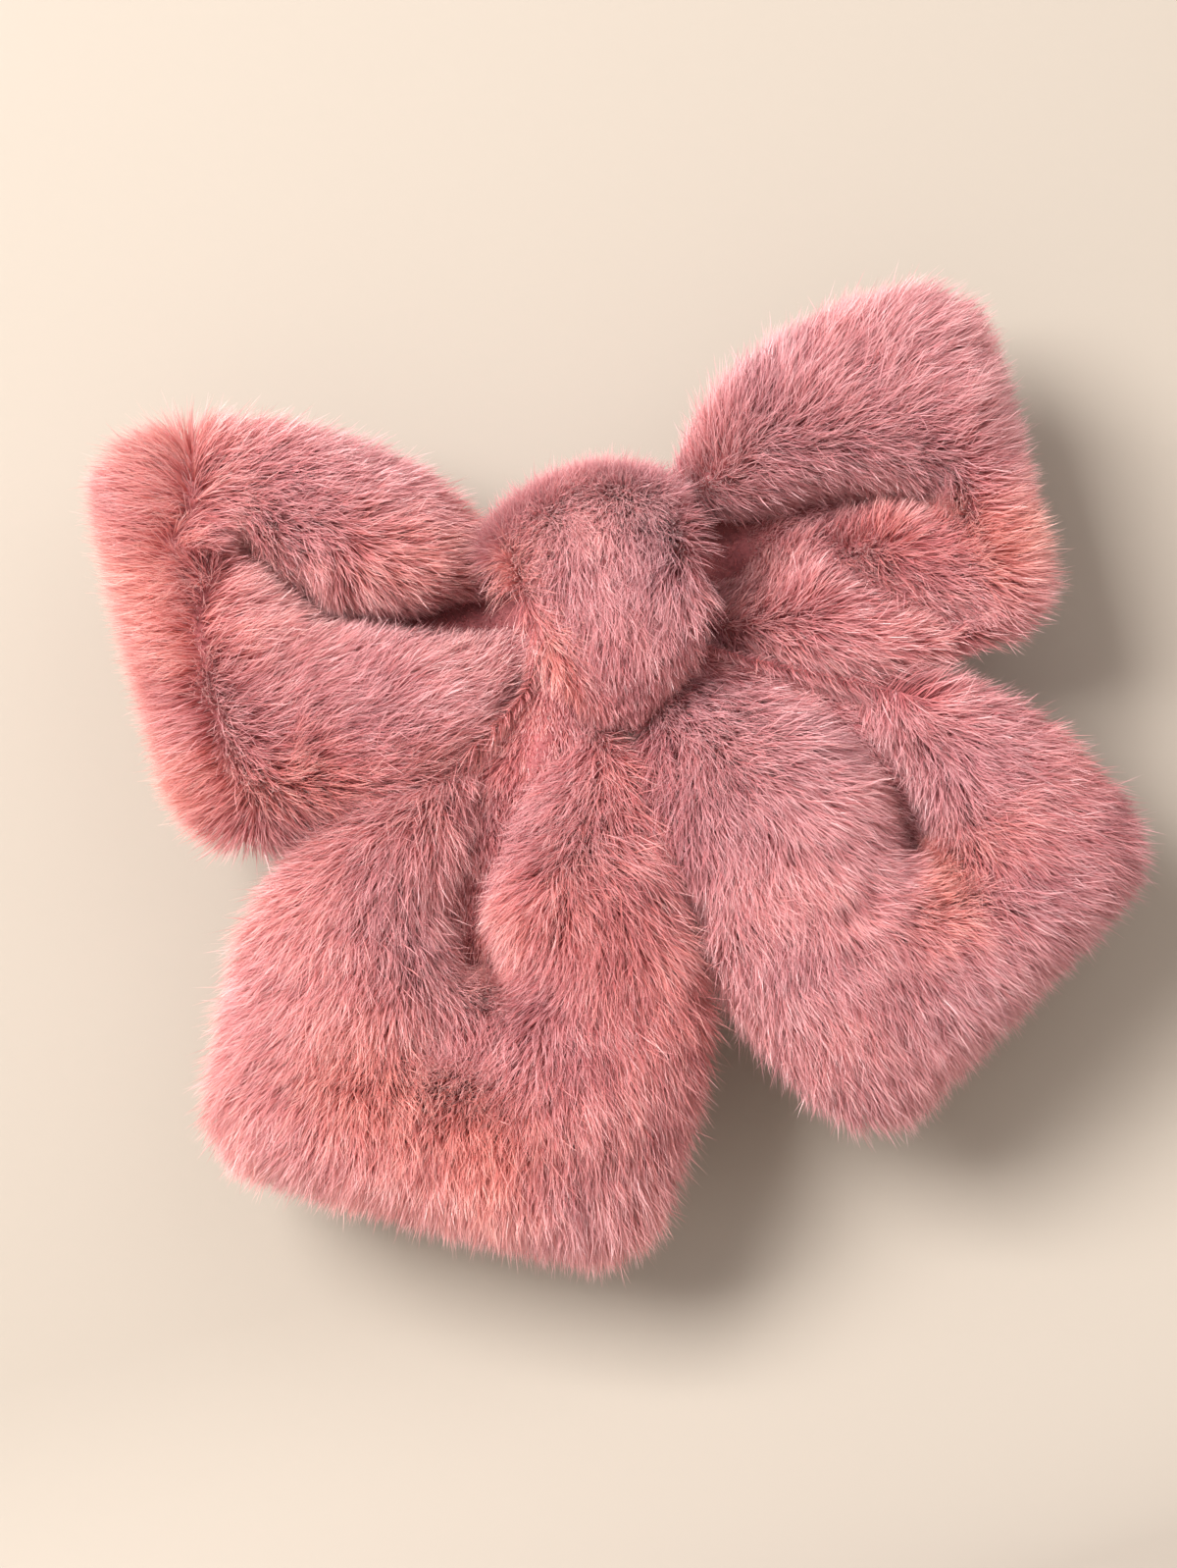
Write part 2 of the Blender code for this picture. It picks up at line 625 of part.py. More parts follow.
def make_catch():
    """The catch's base, its rivets and the two sprung wings that the arm's window snaps over."""
    half_length, half_width = CATCH_LENGTH / 2, PLATE_WIDTH / 2 - 0.6 * MM
    base = block(
        "catch_base",
        (CATCH_X - half_length, CATCH_BACK - CATCH_WALL, -half_width),
        (CATCH_X + half_length, CATCH_BACK, half_width),
        SPRING_STEEL,
    )
    for n, x in enumerate(rivet_places()):
        at = (x, CATCH_BACK - CATCH_WALL / 2, 0)
        cut_hole(base, f"base_hole_{n}", at, (0, 1, 0), RIVET_RADIUS + TIGHT, CATCH_WALL + PAST)
        top = GAP + 0.6 * MM
        foot = PLATE_FRONT - CATCH_BACK
        profile = [
            (0, top),
            (RIVET_HEAD * 0.6, top * 0.92),
            (RIVET_HEAD, GAP + 0.15 * MM),
            (RIVET_HEAD, GAP),
            (RIVET_RADIUS, GAP),
            (RIVET_RADIUS, foot),
            (0, foot),
        ]
        upright = Matrix.Translation((x, CATCH_BACK, 0)) @ Matrix.Rotation(-math.pi / 2, 4, "X")
        turned(f"catch_rivet_{n + 1}", profile, STEEL, upright)
    stem = WINDOW_WIDTH / 2 - 0.5 * MM
    pad = PLATE_WIDTH / 2 + 0.2 * MM
    foot = CATCH_BACK + GAP
    top = ARM_REST + ARM_WALL / 2
    half_path = [
        (foot, half_width - 1.2 * MM),
        (foot + 1.2 * MM, pad),
        (foot + 3.9 * MM, pad),
        (-0.6 * MM, stem),
        (top + 0.7 * MM, stem),
        (top + 1.4 * MM, stem + 0.12 * MM),
    ]
    # The strip's plane is YZ, and its width runs along X.
    sideways = Matrix(((0, 0, 1, CATCH_X), (1, 0, 0, 0), (0, 1, 0, 0), (0, 0, 0, 1)))
    for name, sign in (("upper", 1), ("lower", -1)):
        path = [(y, sign * z) for y, z in half_path]
        sheet_strip(f"{name}_latch_wing", path, WING_WALL, WING_LENGTH, SPRING_STEEL, sideways)


def main():
    make_loops()
    make_tails()
    make_knot()
    make_waist_thread()
    make_felt()
    make_stitches()
    make_plate()
    make_leaf()
    make_arm()
    make_pin()
    make_catch()


main()
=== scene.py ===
import math

import bmesh
import bpy
import numpy as np
from mathutils import Matrix, Vector


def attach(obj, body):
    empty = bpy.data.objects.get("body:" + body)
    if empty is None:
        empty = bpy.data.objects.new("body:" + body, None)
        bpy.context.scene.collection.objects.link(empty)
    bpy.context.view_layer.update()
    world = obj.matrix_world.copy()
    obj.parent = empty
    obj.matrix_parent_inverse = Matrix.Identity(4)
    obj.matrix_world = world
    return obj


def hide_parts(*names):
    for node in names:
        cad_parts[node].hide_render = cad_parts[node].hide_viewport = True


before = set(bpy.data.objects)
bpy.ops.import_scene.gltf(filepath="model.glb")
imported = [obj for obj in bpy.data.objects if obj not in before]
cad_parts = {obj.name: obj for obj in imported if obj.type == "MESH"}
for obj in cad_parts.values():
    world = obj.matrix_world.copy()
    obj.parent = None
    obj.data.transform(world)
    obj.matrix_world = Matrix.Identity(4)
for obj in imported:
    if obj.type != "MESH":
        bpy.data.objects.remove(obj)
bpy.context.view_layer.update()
mm = 0.001
frontWay = np.array([0.0, -1.0, 0.0])  # out of the bow's face
print("frame loaded")


# sums that every piece uses; lengths are in millimetres until a mesh is made
def share(value, start, end):  # how far value has gone from start to end, 0 to 1
    return np.clip((value - start) / (end - start), 0, 1)


def ease(part):  # smooth at both ends: 3p^2 - 2p^3
    return part * part * (3 - 2 * part)


def rise(part):  # quick at first and level at the end: the first quarter of a sine
    return np.sin(math.pi / 2 * part)


def closing(distance, run):  # a quarter ellipse that shuts a pillow over the last run
    return np.sqrt(np.clip(1 - (1 - share(distance, 0, run)) ** 2, 0, 1))


def unit(v):
    return v / np.maximum(np.linalg.norm(v, axis=-1, keepdims=True), 1e-9)


def polar(turns, half, power):  # a rounded section: power 2 is an ellipse, more is squarer
    return np.sign(turns) * np.abs(turns) ** (2 / power) * half


# the distance in the face's plane from each point to a bent line, and how far along it that is, 0 to 1
def nearLine(points, line):
    line = np.asarray(line, float)
    flat = points[..., [0, 2]]
    spans = np.linalg.norm(np.diff(line, axis=0), axis=1)
    starts = np.concatenate([[0], np.cumsum(spans)])
    best, where = np.full(flat.shape[:-1], 1e9), np.zeros(flat.shape[:-1])
    for a, b, span, start in zip(line, line[1:], spans, starts):
        way = (b - a) / span
        foot = np.clip((flat - a) @ way, 0, span)
        away = np.linalg.norm(flat - a - foot[..., None] * way, axis=-1)
        nearer = away < best
        best, where = np.where(nearer, away, best), np.where(nearer, start + foot, where)
    return best, where / starts[-1]


# a furrow along a line in the face: a narrow bell inside a wide one, so the cloth rolls over into it from
# both sides. taper is the share of its depth at its start and at its end
def crease(points, line, depth, width, taper):
    away, along = nearLine(points, line)
    strength = taper[0] + (1 - taper[0]) * ease(share(along, 0, 0.25))
    strength = strength * (1 + (taper[1] - 1) * ease(share(along, 0.6, 1)))
    dip = 0.6 * np.exp(-((away / width) ** 2)) + 0.4 * np.exp(-((away / (2.4 * width)) ** 2))
    return depth * strength * dip


# round patches in the face's plane: the sum of a bell for each (x, z, radius, strength)
def patches(points, spots):
    total = np.zeros(points.shape[:-1])
    for x, z, radius, strength in spots:
        total += strength * np.exp(-(((points[..., 0] - x) ** 2 + (points[..., 2] - z) ** 2) / radius**2))
    return total


# smooth noise from -1 to 1: six sine waves that run in different directions
def ripple(points, size, seed):
    rng = np.random.default_rng(seed)
    total = np.zeros(points.shape[:-1])
    for k in range(6):
        way = unit(rng.normal(size=3)) * (2 * math.pi / size) * rng.uniform(0.7, 1.5)
        total += np.sin(points @ way + rng.uniform(0, 6.28))
    return total / 3.2


# a number from 0 to 1 for each whole-number cell: the same cell always gives the same number
def scatter(cells, seed):
    mixed = cells.astype(np.int64) @ np.array([73856093, 19349663, 83492791]) + seed * 2654435761
    mixed = (mixed ^ (mixed >> 13)) * 1274126177
    mixed = (mixed ^ (mixed >> 16)) & 0xFFFFFF
    return mixed / float(0xFFFFFF)


# the lock of fur that each point belongs to: the way to its middle, and a number of its own. A lock's
# middle is a jittered point in a cell of a cubic lattice, and a point belongs to the nearest
def locks(points, size, seed):
    home = np.floor(points / size)
    nearest = np.full(len(points), 1e9)
    way, own = np.zeros_like(points), np.zeros(len(points))
    for step in np.ndindex(3, 3, 3):
        cell = home + np.array(step) - 1
        middle = (cell + np.stack([scatter(cell, seed + k) for k in (1, 2, 3)], axis=-1)) * size
        apart = ((middle - points) ** 2).sum(axis=1)
        closer = apart < nearest
        nearest = np.where(closer, apart, nearest)
        way[closer] = (middle - points)[closer]
        own[closer] = scatter(cell, seed + 7)[closer]
    return way, own


# meshes
def meshFrom(name, points, faces, look, smooth=True):
    mesh = bpy.data.meshes.new(name)
    mesh.from_pydata((points.reshape(-1, 3) * mm).tolist(), [], faces.tolist())
    mesh.polygons.foreach_set("use_smooth", np.full(len(mesh.polygons), smooth))
    mesh.materials.append(look)
    made = bpy.data.objects.new(name, mesh)
    bpy.context.scene.collection.objects.link(made)
    return made


# four-sided faces over a grid whose columns join up into a ring, and its rows too if wrapRows
def gridFaces(rows, columns, wrapRows=False):
    i = np.arange(rows if wrapRows else rows - 1)[:, None]
    j = np.arange(columns)[None, :]
    nextI, nextJ = (i + 1) % rows, (j + 1) % columns
    corners = [i * columns + j, i * columns + nextJ, nextI * columns + nextJ, nextI * columns + j]
    return np.stack(np.broadcast_arrays(*corners), axis=-1).reshape(-1, 4)


def outwards(points, faces):  # the faces, turned if need be so that the closed shell's volume is positive
    p = points.reshape(-1, 3)
    a, b, c, d = (p[faces[:, k]] for k in range(4))
    volume = (np.cross(b, c) * a).sum() + (np.cross(c, d) * a).sum()
    return faces if volume > 0 else faces[:, ::-1]


def pointNormals(points, faces):  # at each point, the sum of the normals of the faces round it
    p = points.reshape(-1, 3)
    across = np.cross(p[faces[:, 2]] - p[faces[:, 0]], p[faces[:, 3]] - p[faces[:, 1]])
    total = np.zeros_like(p)
    for k in range(4):
        np.add.at(total, faces[:, k], across)
    return unit(total)


# effects that several looks share, as node groups
def newGroup(name, inputs, outputs):
    group = bpy.data.node_groups.new(name, "ShaderNodeTree")
    for title, kind, value in inputs:
        socket = group.interface.new_socket(title, in_out="INPUT", socket_type=kind)
        socket.default_value = value
    for title, kind in outputs:
        group.interface.new_socket(title, in_out="OUTPUT", socket_type=kind)
    return group, group.nodes.new("NodeGroupInput"), group.nodes.new("NodeGroupOutput")


# fibres lying every way: noise at two sizes, mixed, as a colour between Dark and Light and as a height
def fibreGroup():
    group, start, end = newGroup(
        "matted fibre",
        [("Scale", "NodeSocketFloat", 900.0), ("Dark", "NodeSocketColor", (0.1, 0.1, 0.1, 1)),
         ("Light", "NodeSocketColor", (0.2, 0.2, 0.2, 1))],
        [("Color", "NodeSocketColor"), ("Height", "NodeSocketFloat"), ("Roughness", "NodeSocketFloat")],
    )
    nodes, links = group.nodes, group.links
    place = nodes.new("ShaderNodeTexCoord")
    fine, coarse = nodes.new("ShaderNodeTexNoise"), nodes.new("ShaderNodeTexNoise")
    fine.inputs["Detail"].default_value = 6
    fine.inputs["Distortion"].default_value = 1.6
    coarse.inputs["Detail"].default_value = 3
    fifth = nodes.new("ShaderNodeMath")
    fifth.operation = "MULTIPLY"
    fifth.inputs[1].default_value = 0.2
    links.new(start.outputs["Scale"], fine.inputs["Scale"])
    links.new(start.outputs["Scale"], fifth.inputs[0])
    links.new(fifth.outputs[0], coarse.inputs["Scale"])
    for noise in (fine, coarse):
        links.new(place.outputs["Object"], noise.inputs["Vector"])
    both = nodes.new("ShaderNodeMath")
    both.operation = "MULTIPLY_ADD"
    both.inputs[1].default_value = 0.65
    third = nodes.new("ShaderNodeMath")
    third.operation = "MULTIPLY"
    third.inputs[1].default_value = 0.35
    links.new(coarse.outputs["Fac"], third.inputs[0])
    links.new(fine.outputs["Fac"], both.inputs[0])
    links.new(third.outputs[0], both.inputs[2])
    spread = nodes.new("ShaderNodeMapRange")
    spread.inputs["From Min"].default_value = 0.36
    spread.inputs["From Max"].default_value = 0.64
    links.new(both.outputs[0], spread.inputs["Value"])
    mix = nodes.new("ShaderNodeMix")
    mix.data_type = "RGBA"
    links.new(spread.outputs["Result"], mix.inputs["Factor"])
    links.new(start.outputs["Dark"], mix.inputs[6])
    links.new(start.outputs["Light"], mix.inputs[7])
    rough = nodes.new("ShaderNodeMapRange")
    rough.inputs["To Min"].default_value = 0.96
    rough.inputs["To Max"].default_value = 0.8
    links.new(both.outputs[0], rough.inputs["Value"])
    links.new(mix.outputs[2], end.inputs["Color"])
    links.new(both.outputs[0], end.inputs["Height"])
    links.new(rough.outputs["Result"], end.inputs["Roughness"])
    return group


# rolled and tumbled metal: long fine lines along the strip, and a cloudy film that dulls it in places
def brushedGroup():
    group, start, end = newGroup(
        "rolled metal",
        [("Tint", "NodeSocketColor", (0.7, 0.7, 0.7, 1)), ("Dull", "NodeSocketColor", (0.5, 0.5, 0.5, 1)),
         ("Smooth", "NodeSocketFloat", 0.2), ("Rough", "NodeSocketFloat", 0.4)],
        [("Color", "NodeSocketColor"), ("Roughness", "NodeSocketFloat"), ("Height", "NodeSocketFloat")],
    )
    nodes, links = group.nodes, group.links
    place = nodes.new("ShaderNodeTexCoord")
    stretch = nodes.new("ShaderNodeMapping")
    stretch.inputs["Scale"].default_value = (60, 1500, 2600)
    lines = nodes.new("ShaderNodeTexNoise")
    lines.inputs["Scale"].default_value = 1
    lines.inputs["Detail"].default_value = 5
    links.new(place.outputs["Object"], stretch.inputs["Vector"])
    links.new(stretch.outputs["Vector"], lines.inputs["Vector"])
    cloud = nodes.new("ShaderNodeTexNoise")
    cloud.inputs["Scale"].default_value = 180
    cloud.inputs["Detail"].default_value = 4
    links.new(place.outputs["Object"], cloud.inputs["Vector"])
    film = nodes.new("ShaderNodeMapRange")
    film.inputs["From Min"].default_value = 0.42
    film.inputs["From Max"].default_value = 0.68
    links.new(cloud.outputs["Fac"], film.inputs["Value"])
    mix = nodes.new("ShaderNodeMix")
    mix.data_type = "RGBA"
    links.new(film.outputs["Result"], mix.inputs["Factor"])
    links.new(start.outputs["Tint"], mix.inputs[6])
    links.new(start.outputs["Dull"], mix.inputs[7])
    blend = nodes.new("ShaderNodeMath")
    blend.operation = "MULTIPLY_ADD"
    blend.inputs[1].default_value = 0.5
    half = nodes.new("ShaderNodeMath")
    half.operation = "MULTIPLY"
    half.inputs[1].default_value = 0.5
    links.new(lines.outputs["Fac"], half.inputs[0])
    links.new(film.outputs["Result"], blend.inputs[0])
    links.new(half.outputs[0], blend.inputs[2])
    rough = nodes.new("ShaderNodeMapRange")
    links.new(blend.outputs[0], rough.inputs["Value"])
    links.new(start.outputs["Smooth"], rough.inputs["To Min"])
    links.new(start.outputs["Rough"], rough.inputs["To Max"])
    links.new(mix.outputs[2], end.inputs["Color"])
    links.new(rough.outputs["Result"], end.inputs["Roughness"])
    links.new(lines.outputs["Fac"], end.inputs["Height"])
    return group


# looks
def newLook(name):
    look = bpy.data.materials.new(name)
    look.use_nodes = True
    return look, look.node_tree.nodes, look.node_tree.links, look.node_tree.nodes["Principled BSDF"]


def ramp(nodes, stops):
    made = nodes.new("ShaderNodeValToRGB")
    while len(made.color_ramp.elements) < len(stops):
        made.color_ramp.elements.new(0.5)
    for element, (at, colour) in zip(made.color_ramp.elements, stops):
        element.position = at
        element.color = (*colour, 1)
    return made


def placedGroup(nodes, group, values):
    made = nodes.new("ShaderNodeGroup")
    made.node_tree = group
    for title, value in values.items():
        made.inputs[title].default_value = value
    return made


def bumped(nodes, links, height, shader, strength, distance):
    bump = nodes.new("ShaderNodeBump")
    bump.inputs["Strength"].default_value = strength
    bump.inputs["Distance"].default_value = distance
    links.new(height, bump.inputs["Height"])
    links.new(bump.outputs["Normal"], shader.inputs["Normal"])


pile = {  # colours at a strand's foot and tip, from the coolest tone to the most peach
    # the dark foot is partly the underfur's own deeper colour and partly painted shade for the shadow deep
    # in the pile
    "foot": [(0.0, (0.34, 0.105, 0.135)), (0.5, (0.52, 0.13, 0.14)), (1.0, (0.76, 0.24, 0.20))],
    "tip": [(0.0, (0.80, 0.49, 0.545)), (0.5, (0.905, 0.555, 0.585)), (1.0, (0.955, 0.60, 0.545))],
    "climb": [(0.0, 0.0), (0.3, 0.22), (0.6, 0.5), (1.0, 1.0)],  # how the tip's colour comes in
    "roughness": 0.34,
    "throughLight": 0.3,
}


# colour by the strand's own map: across it the tone, up it the way from foot to tip
def furLook():
    look, nodes, links, shader = newLook("pileFibre")
    place = nodes.new("ShaderNodeUVMap")
    place.uv_map = "OFBake"
    parts = nodes.new("ShaderNodeSeparateXYZ")
    links.new(place.outputs["UV"], parts.inputs["Vector"])
    foot, tip = ramp(nodes, pile["foot"]), ramp(nodes, pile["tip"])
    climb = ramp(nodes, [(at, (level,) * 3) for at, level in pile["climb"]])
    mix = nodes.new("ShaderNodeMix")
    mix.data_type = "RGBA"
    links.new(parts.outputs["X"], foot.inputs["Fac"])
    links.new(parts.outputs["X"], tip.inputs["Fac"])
    links.new(parts.outputs["Y"], climb.inputs["Fac"])
    links.new(climb.outputs["Color"], mix.inputs["Factor"])
    links.new(foot.outputs["Color"], mix.inputs[6])
    links.new(tip.outputs["Color"], mix.inputs[7])
    links.new(mix.outputs[2], shader.inputs["Base Color"])
    shader.inputs["Roughness"].default_value = pile["roughness"]
    shader.inputs["Specular IOR Level"].default_value = 0.6
    shader.inputs["Sheen Weight"].default_value = 0.35
    shader.inputs["Sheen Roughness"].default_value = 0.4
    glow = nodes.new("ShaderNodeBsdfTranslucent")
    links.new(mix.outputs[2], glow.inputs["Color"])
    both = nodes.new("ShaderNodeMixShader")
    both.inputs["Fac"].default_value = pile["throughLight"]
    links.new(shader.outputs["BSDF"], both.inputs[1])
    links.new(glow.outputs["BSDF"], both.inputs[2])
    links.new(both.outputs["Shader"], nodes["Material Output"].inputs["Surface"])
    return look


finishes = {
    "backing": {"Scale": 900.0, "Dark": (0.20, 0.05, 0.06, 1), "Light": (0.38, 0.11, 0.12, 1)},
    "felt": {"Scale": 700.0, "Dark": (0.44, 0.20, 0.21, 1), "Light": (0.66, 0.36, 0.37, 1)},
    "thread": {"Scale": 3200.0, "Dark": (0.42, 0.17, 0.18, 1), "Light": (0.68, 0.36, 0.37, 1)},
    "plated": {"Tint": (0.80, 0.78, 0.74, 1), "Dull": (0.66, 0.63, 0.59, 1), "Smooth": 0.16, "Rough": 0.38},
    "spring": {"Tint": (0.56, 0.57, 0.58, 1), "Dull": (0.42, 0.43, 0.45, 1), "Smooth": 0.28, "Rough": 0.5},
    "rivet": {"Tint": (0.74, 0.72, 0.69, 1), "Dull": (0.52, 0.50, 0.47, 1), "Smooth": 0.24, "Rough": 0.46},
}


def softLook(name, finish, depth):
    look, nodes, links, shader = newLook(name)
    fibre = placedGroup(nodes, mattedFibre, finishes[finish])
    links.new(fibre.outputs["Color"], shader.inputs["Base Color"])
    links.new(fibre.outputs["Roughness"], shader.inputs["Roughness"])
    shader.inputs["Sheen Weight"].default_value = 0.3
    bumped(nodes, links, fibre.outputs["Height"], shader, 0.5, depth)
    return look


# twisted thread: slanting bands whose edges dip, over matted fibre
def threadLook():
    look, nodes, links, shader = newLook("sewingThread")
    fibre = placedGroup(nodes, mattedFibre, finishes["thread"])
    links.new(fibre.outputs["Color"], shader.inputs["Base Color"])
    links.new(fibre.outputs["Roughness"], shader.inputs["Roughness"])
    place = nodes.new("ShaderNodeTexCoord")
    twist = nodes.new("ShaderNodeTexWave")
    twist.bands_direction = "DIAGONAL"
    twist.inputs["Scale"].default_value = 900
    twist.inputs["Distortion"].default_value = 0.6
    links.new(place.outputs["Object"], twist.inputs["Vector"])
    bumped(nodes, links, twist.outputs["Fac"], shader, 0.6, 0.00012)
    return look


def metalLook(name, finish, strength):
    look, nodes, links, shader = newLook(name)
    metal = placedGroup(nodes, rolledMetal, finishes[finish])
    links.new(metal.outputs["Color"], shader.inputs["Base Color"])
    links.new(metal.outputs["Roughness"], shader.inputs["Roughness"])
    shader.inputs["Metallic"].default_value = 1.0
    bumped(nodes, links, metal.outputs["Height"], shader, strength, 0.00004)
    return look


mattedFibre, rolledMetal = fibreGroup(), brushedGroup()
furFibre = furLook()
furBacking = softLook("furBacking", "backing", 0.0003)
nodeLooks = {
    softLook("pressedFelt", "felt", 0.0003): ("felt_pad",),
    threadLook(): ("clip_stitch_1", "clip_stitch_2", "clip_stitch_3", "clip_stitch_4", "waist_thread",
                   "left_tail_thread", "right_tail_thread"),
    metalLook("platedSteel", "plated", 0.25): ("clip_plate", "clasp_arm", "catch_base"),
    metalLook("springSteel", "spring", 0.35): ("tension_leaf", "upper_latch_wing", "lower_latch_wing"),
    metalLook("pinSteel", "rivet", 0.2): ("hinge_pin", "catch_rivet_1", "catch_rivet_2"),
}
for look, names in nodeLooks.items():
    for name in names:
        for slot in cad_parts[name].material_slots:
            slot.material = look
print("looks made")


clothSettings = {
    "pressure": 4.0,
    "frames": 20,
    "cap": 2.4,  # no point moves further than this
    "slack": 0.10,  # how much longer the cloth is than its shape
    "rows": 46,
    "columns": 40,
}


# the shell on a coarse grid, swelled as cloth by a little air, and how far that moved it. held is where the
# gathers hold it still
def swelling(shell, held):
    points = shell(clothSettings["rows"], clothSettings["columns"])
    piece = meshFrom("swelling", points, outwards(points, gridFaces(*points.shape[:2])), furBacking)
    fixed = np.flatnonzero(held(points).ravel() > 0.5)
    group = piece.vertex_groups.new(name="held")
    group.add(fixed.tolist(), 1.0, "REPLACE")
    cloth = piece.modifiers.new("cloth", "CLOTH")
    settings = cloth.settings
    settings.quality = 6
    settings.mass = 0.15
    settings.tension_stiffness = settings.compression_stiffness = 12
    settings.shear_stiffness = 4
    settings.bending_stiffness = 0.2
    settings.use_pressure = True
    settings.uniform_pressure_force = clothSettings["pressure"]
    settings.shrink_min = -clothSettings["slack"]
    settings.effector_weights.gravity = 0
    settings.vertex_group_mass = "held"
    cloth.point_cache.frame_start, cloth.point_cache.frame_end = 1, clothSettings["frames"]
    for step in range(1, clothSettings["frames"] + 1):
        bpy.context.scene.frame_set(step)
    evaluated = piece.evaluated_get(bpy.context.evaluated_depsgraph_get())
    settled = np.empty(points.size, np.float32)
    evaluated.to_mesh().vertices.foreach_get("co", settled)
    evaluated.to_mesh_clear()
    bpy.data.objects.remove(piece)
    bpy.context.scene.frame_set(1)
    move = settled.reshape(points.shape) / mm - points
    size = np.linalg.norm(move, axis=-1, keepdims=True)
    return move * np.minimum(1, clothSettings["cap"] / np.maximum(size, 1e-6))


# a coarse grid's moves carried to a finer one: straight between its points, then smoothed
def finer(move, rows, columns):
    at = np.linspace(0, move.shape[0] - 1, rows)
    i = np.minimum(at.astype(int), move.shape[0] - 2)
    move = move[i] + (move[i + 1] - move[i]) * (at - i)[:, None, None]
    at = np.arange(columns) * move.shape[1] / columns
    j = at.astype(int)
    move = move[:, j] + (move[:, (j + 1) % move.shape[1]] - move[:, j]) * (at - j)[None, :, None]
    for _ in range(4):
        move = (move + np.roll(move, 1, axis=1) + np.roll(move, -1, axis=1)) / 3
        move[1:-1] = (move[:-2] + move[1:-1] + move[2:]) / 3
    return move


fur = {
    "width": 0.15,
    "thinning": 1,
    "lock": (1.1, 4.4),  # sizes of the small and the large locks
    "draw": (0.34, 0.07),  # how far each draws a tip to its middle
    "sway": (0.40, 0.34),  # how far each turns its strands aside, in radians
    "stray": 0.16,  # share of loose strands that stand off the rest
    "sections": (0, 0.34, 0.68, 1.0),  # where along a strand its sections lie
    "taper": (1, 0.92, 0.66, 0),  # the strand's width at each
    "rootDepth": 0.3,  # how far into the skin it starts
}


# roots spread evenly by area over the faces that the piece keeps, and the skin's normal at each
def strandRoots(points, faces, piece, count, rng):
    p = points.reshape(-1, 3)
    normals = pointNormals(points, faces)
    area = np.linalg.norm(np.cross(p[faces[:, 2]] - p[faces[:, 0]], p[faces[:, 3]] - p[faces[:, 1]]), axis=1)
    area = area * piece["keep"](p[faces].mean(axis=1), unit(normals[faces].mean(axis=1)))
    chosen = faces[rng.choice(len(faces), size=count, p=area / area.sum())]
    a, b = rng.random((2, count, 1))
    weights = [(1 - a) * (1 - b), a * (1 - b), a * b, (1 - a) * b]
    root = sum(w * p[chosen[:, k]] for k, w in enumerate(weights))
    return root, unit(sum(w * normals[chosen[:, k]] for k, w in enumerate(weights)))


# strands on a shell. Each leaves the skin near its normal N and bends towards the nap D, so its direction at
# a share t of its length is N cos a(t) + D sin a(t), and its tip is drawn to the middle of its lock. Where
# the nap runs straight out of the skin, as round a rim, the strand stands up
def growFur(name, points, faces, piece, seed):
    rng = np.random.default_rng(seed)
    count = piece["strands"] // fur["thinning"]
    root, normal = strandRoots(points, faces, piece, count, rng)

    way, lean = piece["nap"](root, normal)
    opened = patches(root, piece["parted"])
    small, smallOwn = locks(root, fur["lock"][0], seed)
    large, largeOwn = locks(root, fur["lock"][1], seed + 50)
    stray = rng.random(count) < fur["stray"]
    sway = 0.30 * ripple(root, 16, seed + 3)
    sway = sway + fur["sway"][0] * (smallOwn - 0.5) + fur["sway"][1] * (largeOwn - 0.5)
    sway = sway + rng.normal(0, 1, count) * np.where(stray, 0.4, 0.2)
    flat = way - normal * (way * normal).sum(axis=1, keepdims=True)
    lean = lean * (0.25 + 0.75 * np.linalg.norm(flat, axis=1)) * (1 - 0.75 * np.clip(opened, 0, 1))
    lean = lean * np.where(stray, rng.uniform(0.5, 0.9, count), 1)
    flat = unit(flat)
    side = np.cross(normal, flat)
    flat = flat * np.cos(sway)[:, None] + side * np.sin(sway)[:, None]
    side = np.cross(normal, flat)

    tall = piece["pileLength"](root, normal) * (0.86 + 0.2 * smallOwn + 0.12 * (largeOwn - 0.5))
    tall = tall * np.clip(rng.normal(0.93, 0.1, count), 0.55, 1.2) * np.where(stray, 1.03, 1)
    first = lean * 0.5 + rng.normal(0, 0.08, count)
    last = lean * 1.3 + 0.25 * (smallOwn - 0.5) + rng.normal(0, 0.16, count)
    bow = rng.normal(0, 0.22, count)[:, None]
    sections = np.array(fur["sections"])
    line = [root - normal * fur["rootDepth"]]
    for t0, t1 in zip(sections, sections[1:]):
        t = (t0 + t1) / 2
        angle = (first + (last - first) * t)[:, None]
        step = unit(normal * np.cos(angle) + flat * np.sin(angle) + side * bow * t)
        line.append(line[-1] + step * (tall * (t1 - t0))[:, None])
    line = np.stack(line, axis=1)
    smallPull = small - normal * (small * normal).sum(axis=1, keepdims=True)
    largePull = large - normal * (large * normal).sum(axis=1, keepdims=True)
    pull = (smallPull * fur["draw"][0] + largePull * fur["draw"][1]) * np.where(stray, 0.2, 1)[:, None]
    line = line + pull[:, None] * (sections**1.4)[None, :, None]

    along = unit(np.gradient(line, axis=1))
    level = np.cross(along, normal[:, None])
    other = np.cross(along, level)
    turn = rng.uniform(-1.1, 1.1, count)[:, None, None]
    half = fur["width"] * rng.uniform(0.7, 1.3, count)[:, None, None] / 2
    half = half * np.array(fur["taper"])[None, :, None]
    across = (unit(level) * np.cos(turn) + unit(other) * np.sin(turn)) * half

    tone = piece["tone"](root, normal) + 0.30 * opened + 0.14 * (smallOwn - 0.5) + 0.10 * (largeOwn - 0.5)
    tone = tone + rng.normal(0, 0.09, count)
    paler = rng.normal(0.95, 0.27, count) + 0.44 * (smallOwn - 0.5) + 0.26 * (largeOwn - 0.5)
    # painted shade: strands in the listed patches keep more of their dark foot colour, standing for shade in
    # creases, in the gap between the tails and on sides turned from the key light; a negative strength
    # paints light, as on the knot's top
    paler = np.clip(paler - patches(root, piece["shaded"]), 0.3, 1.28)
    strandPieces(name, line, across, np.clip(tone, 0.02, 0.98), paler)


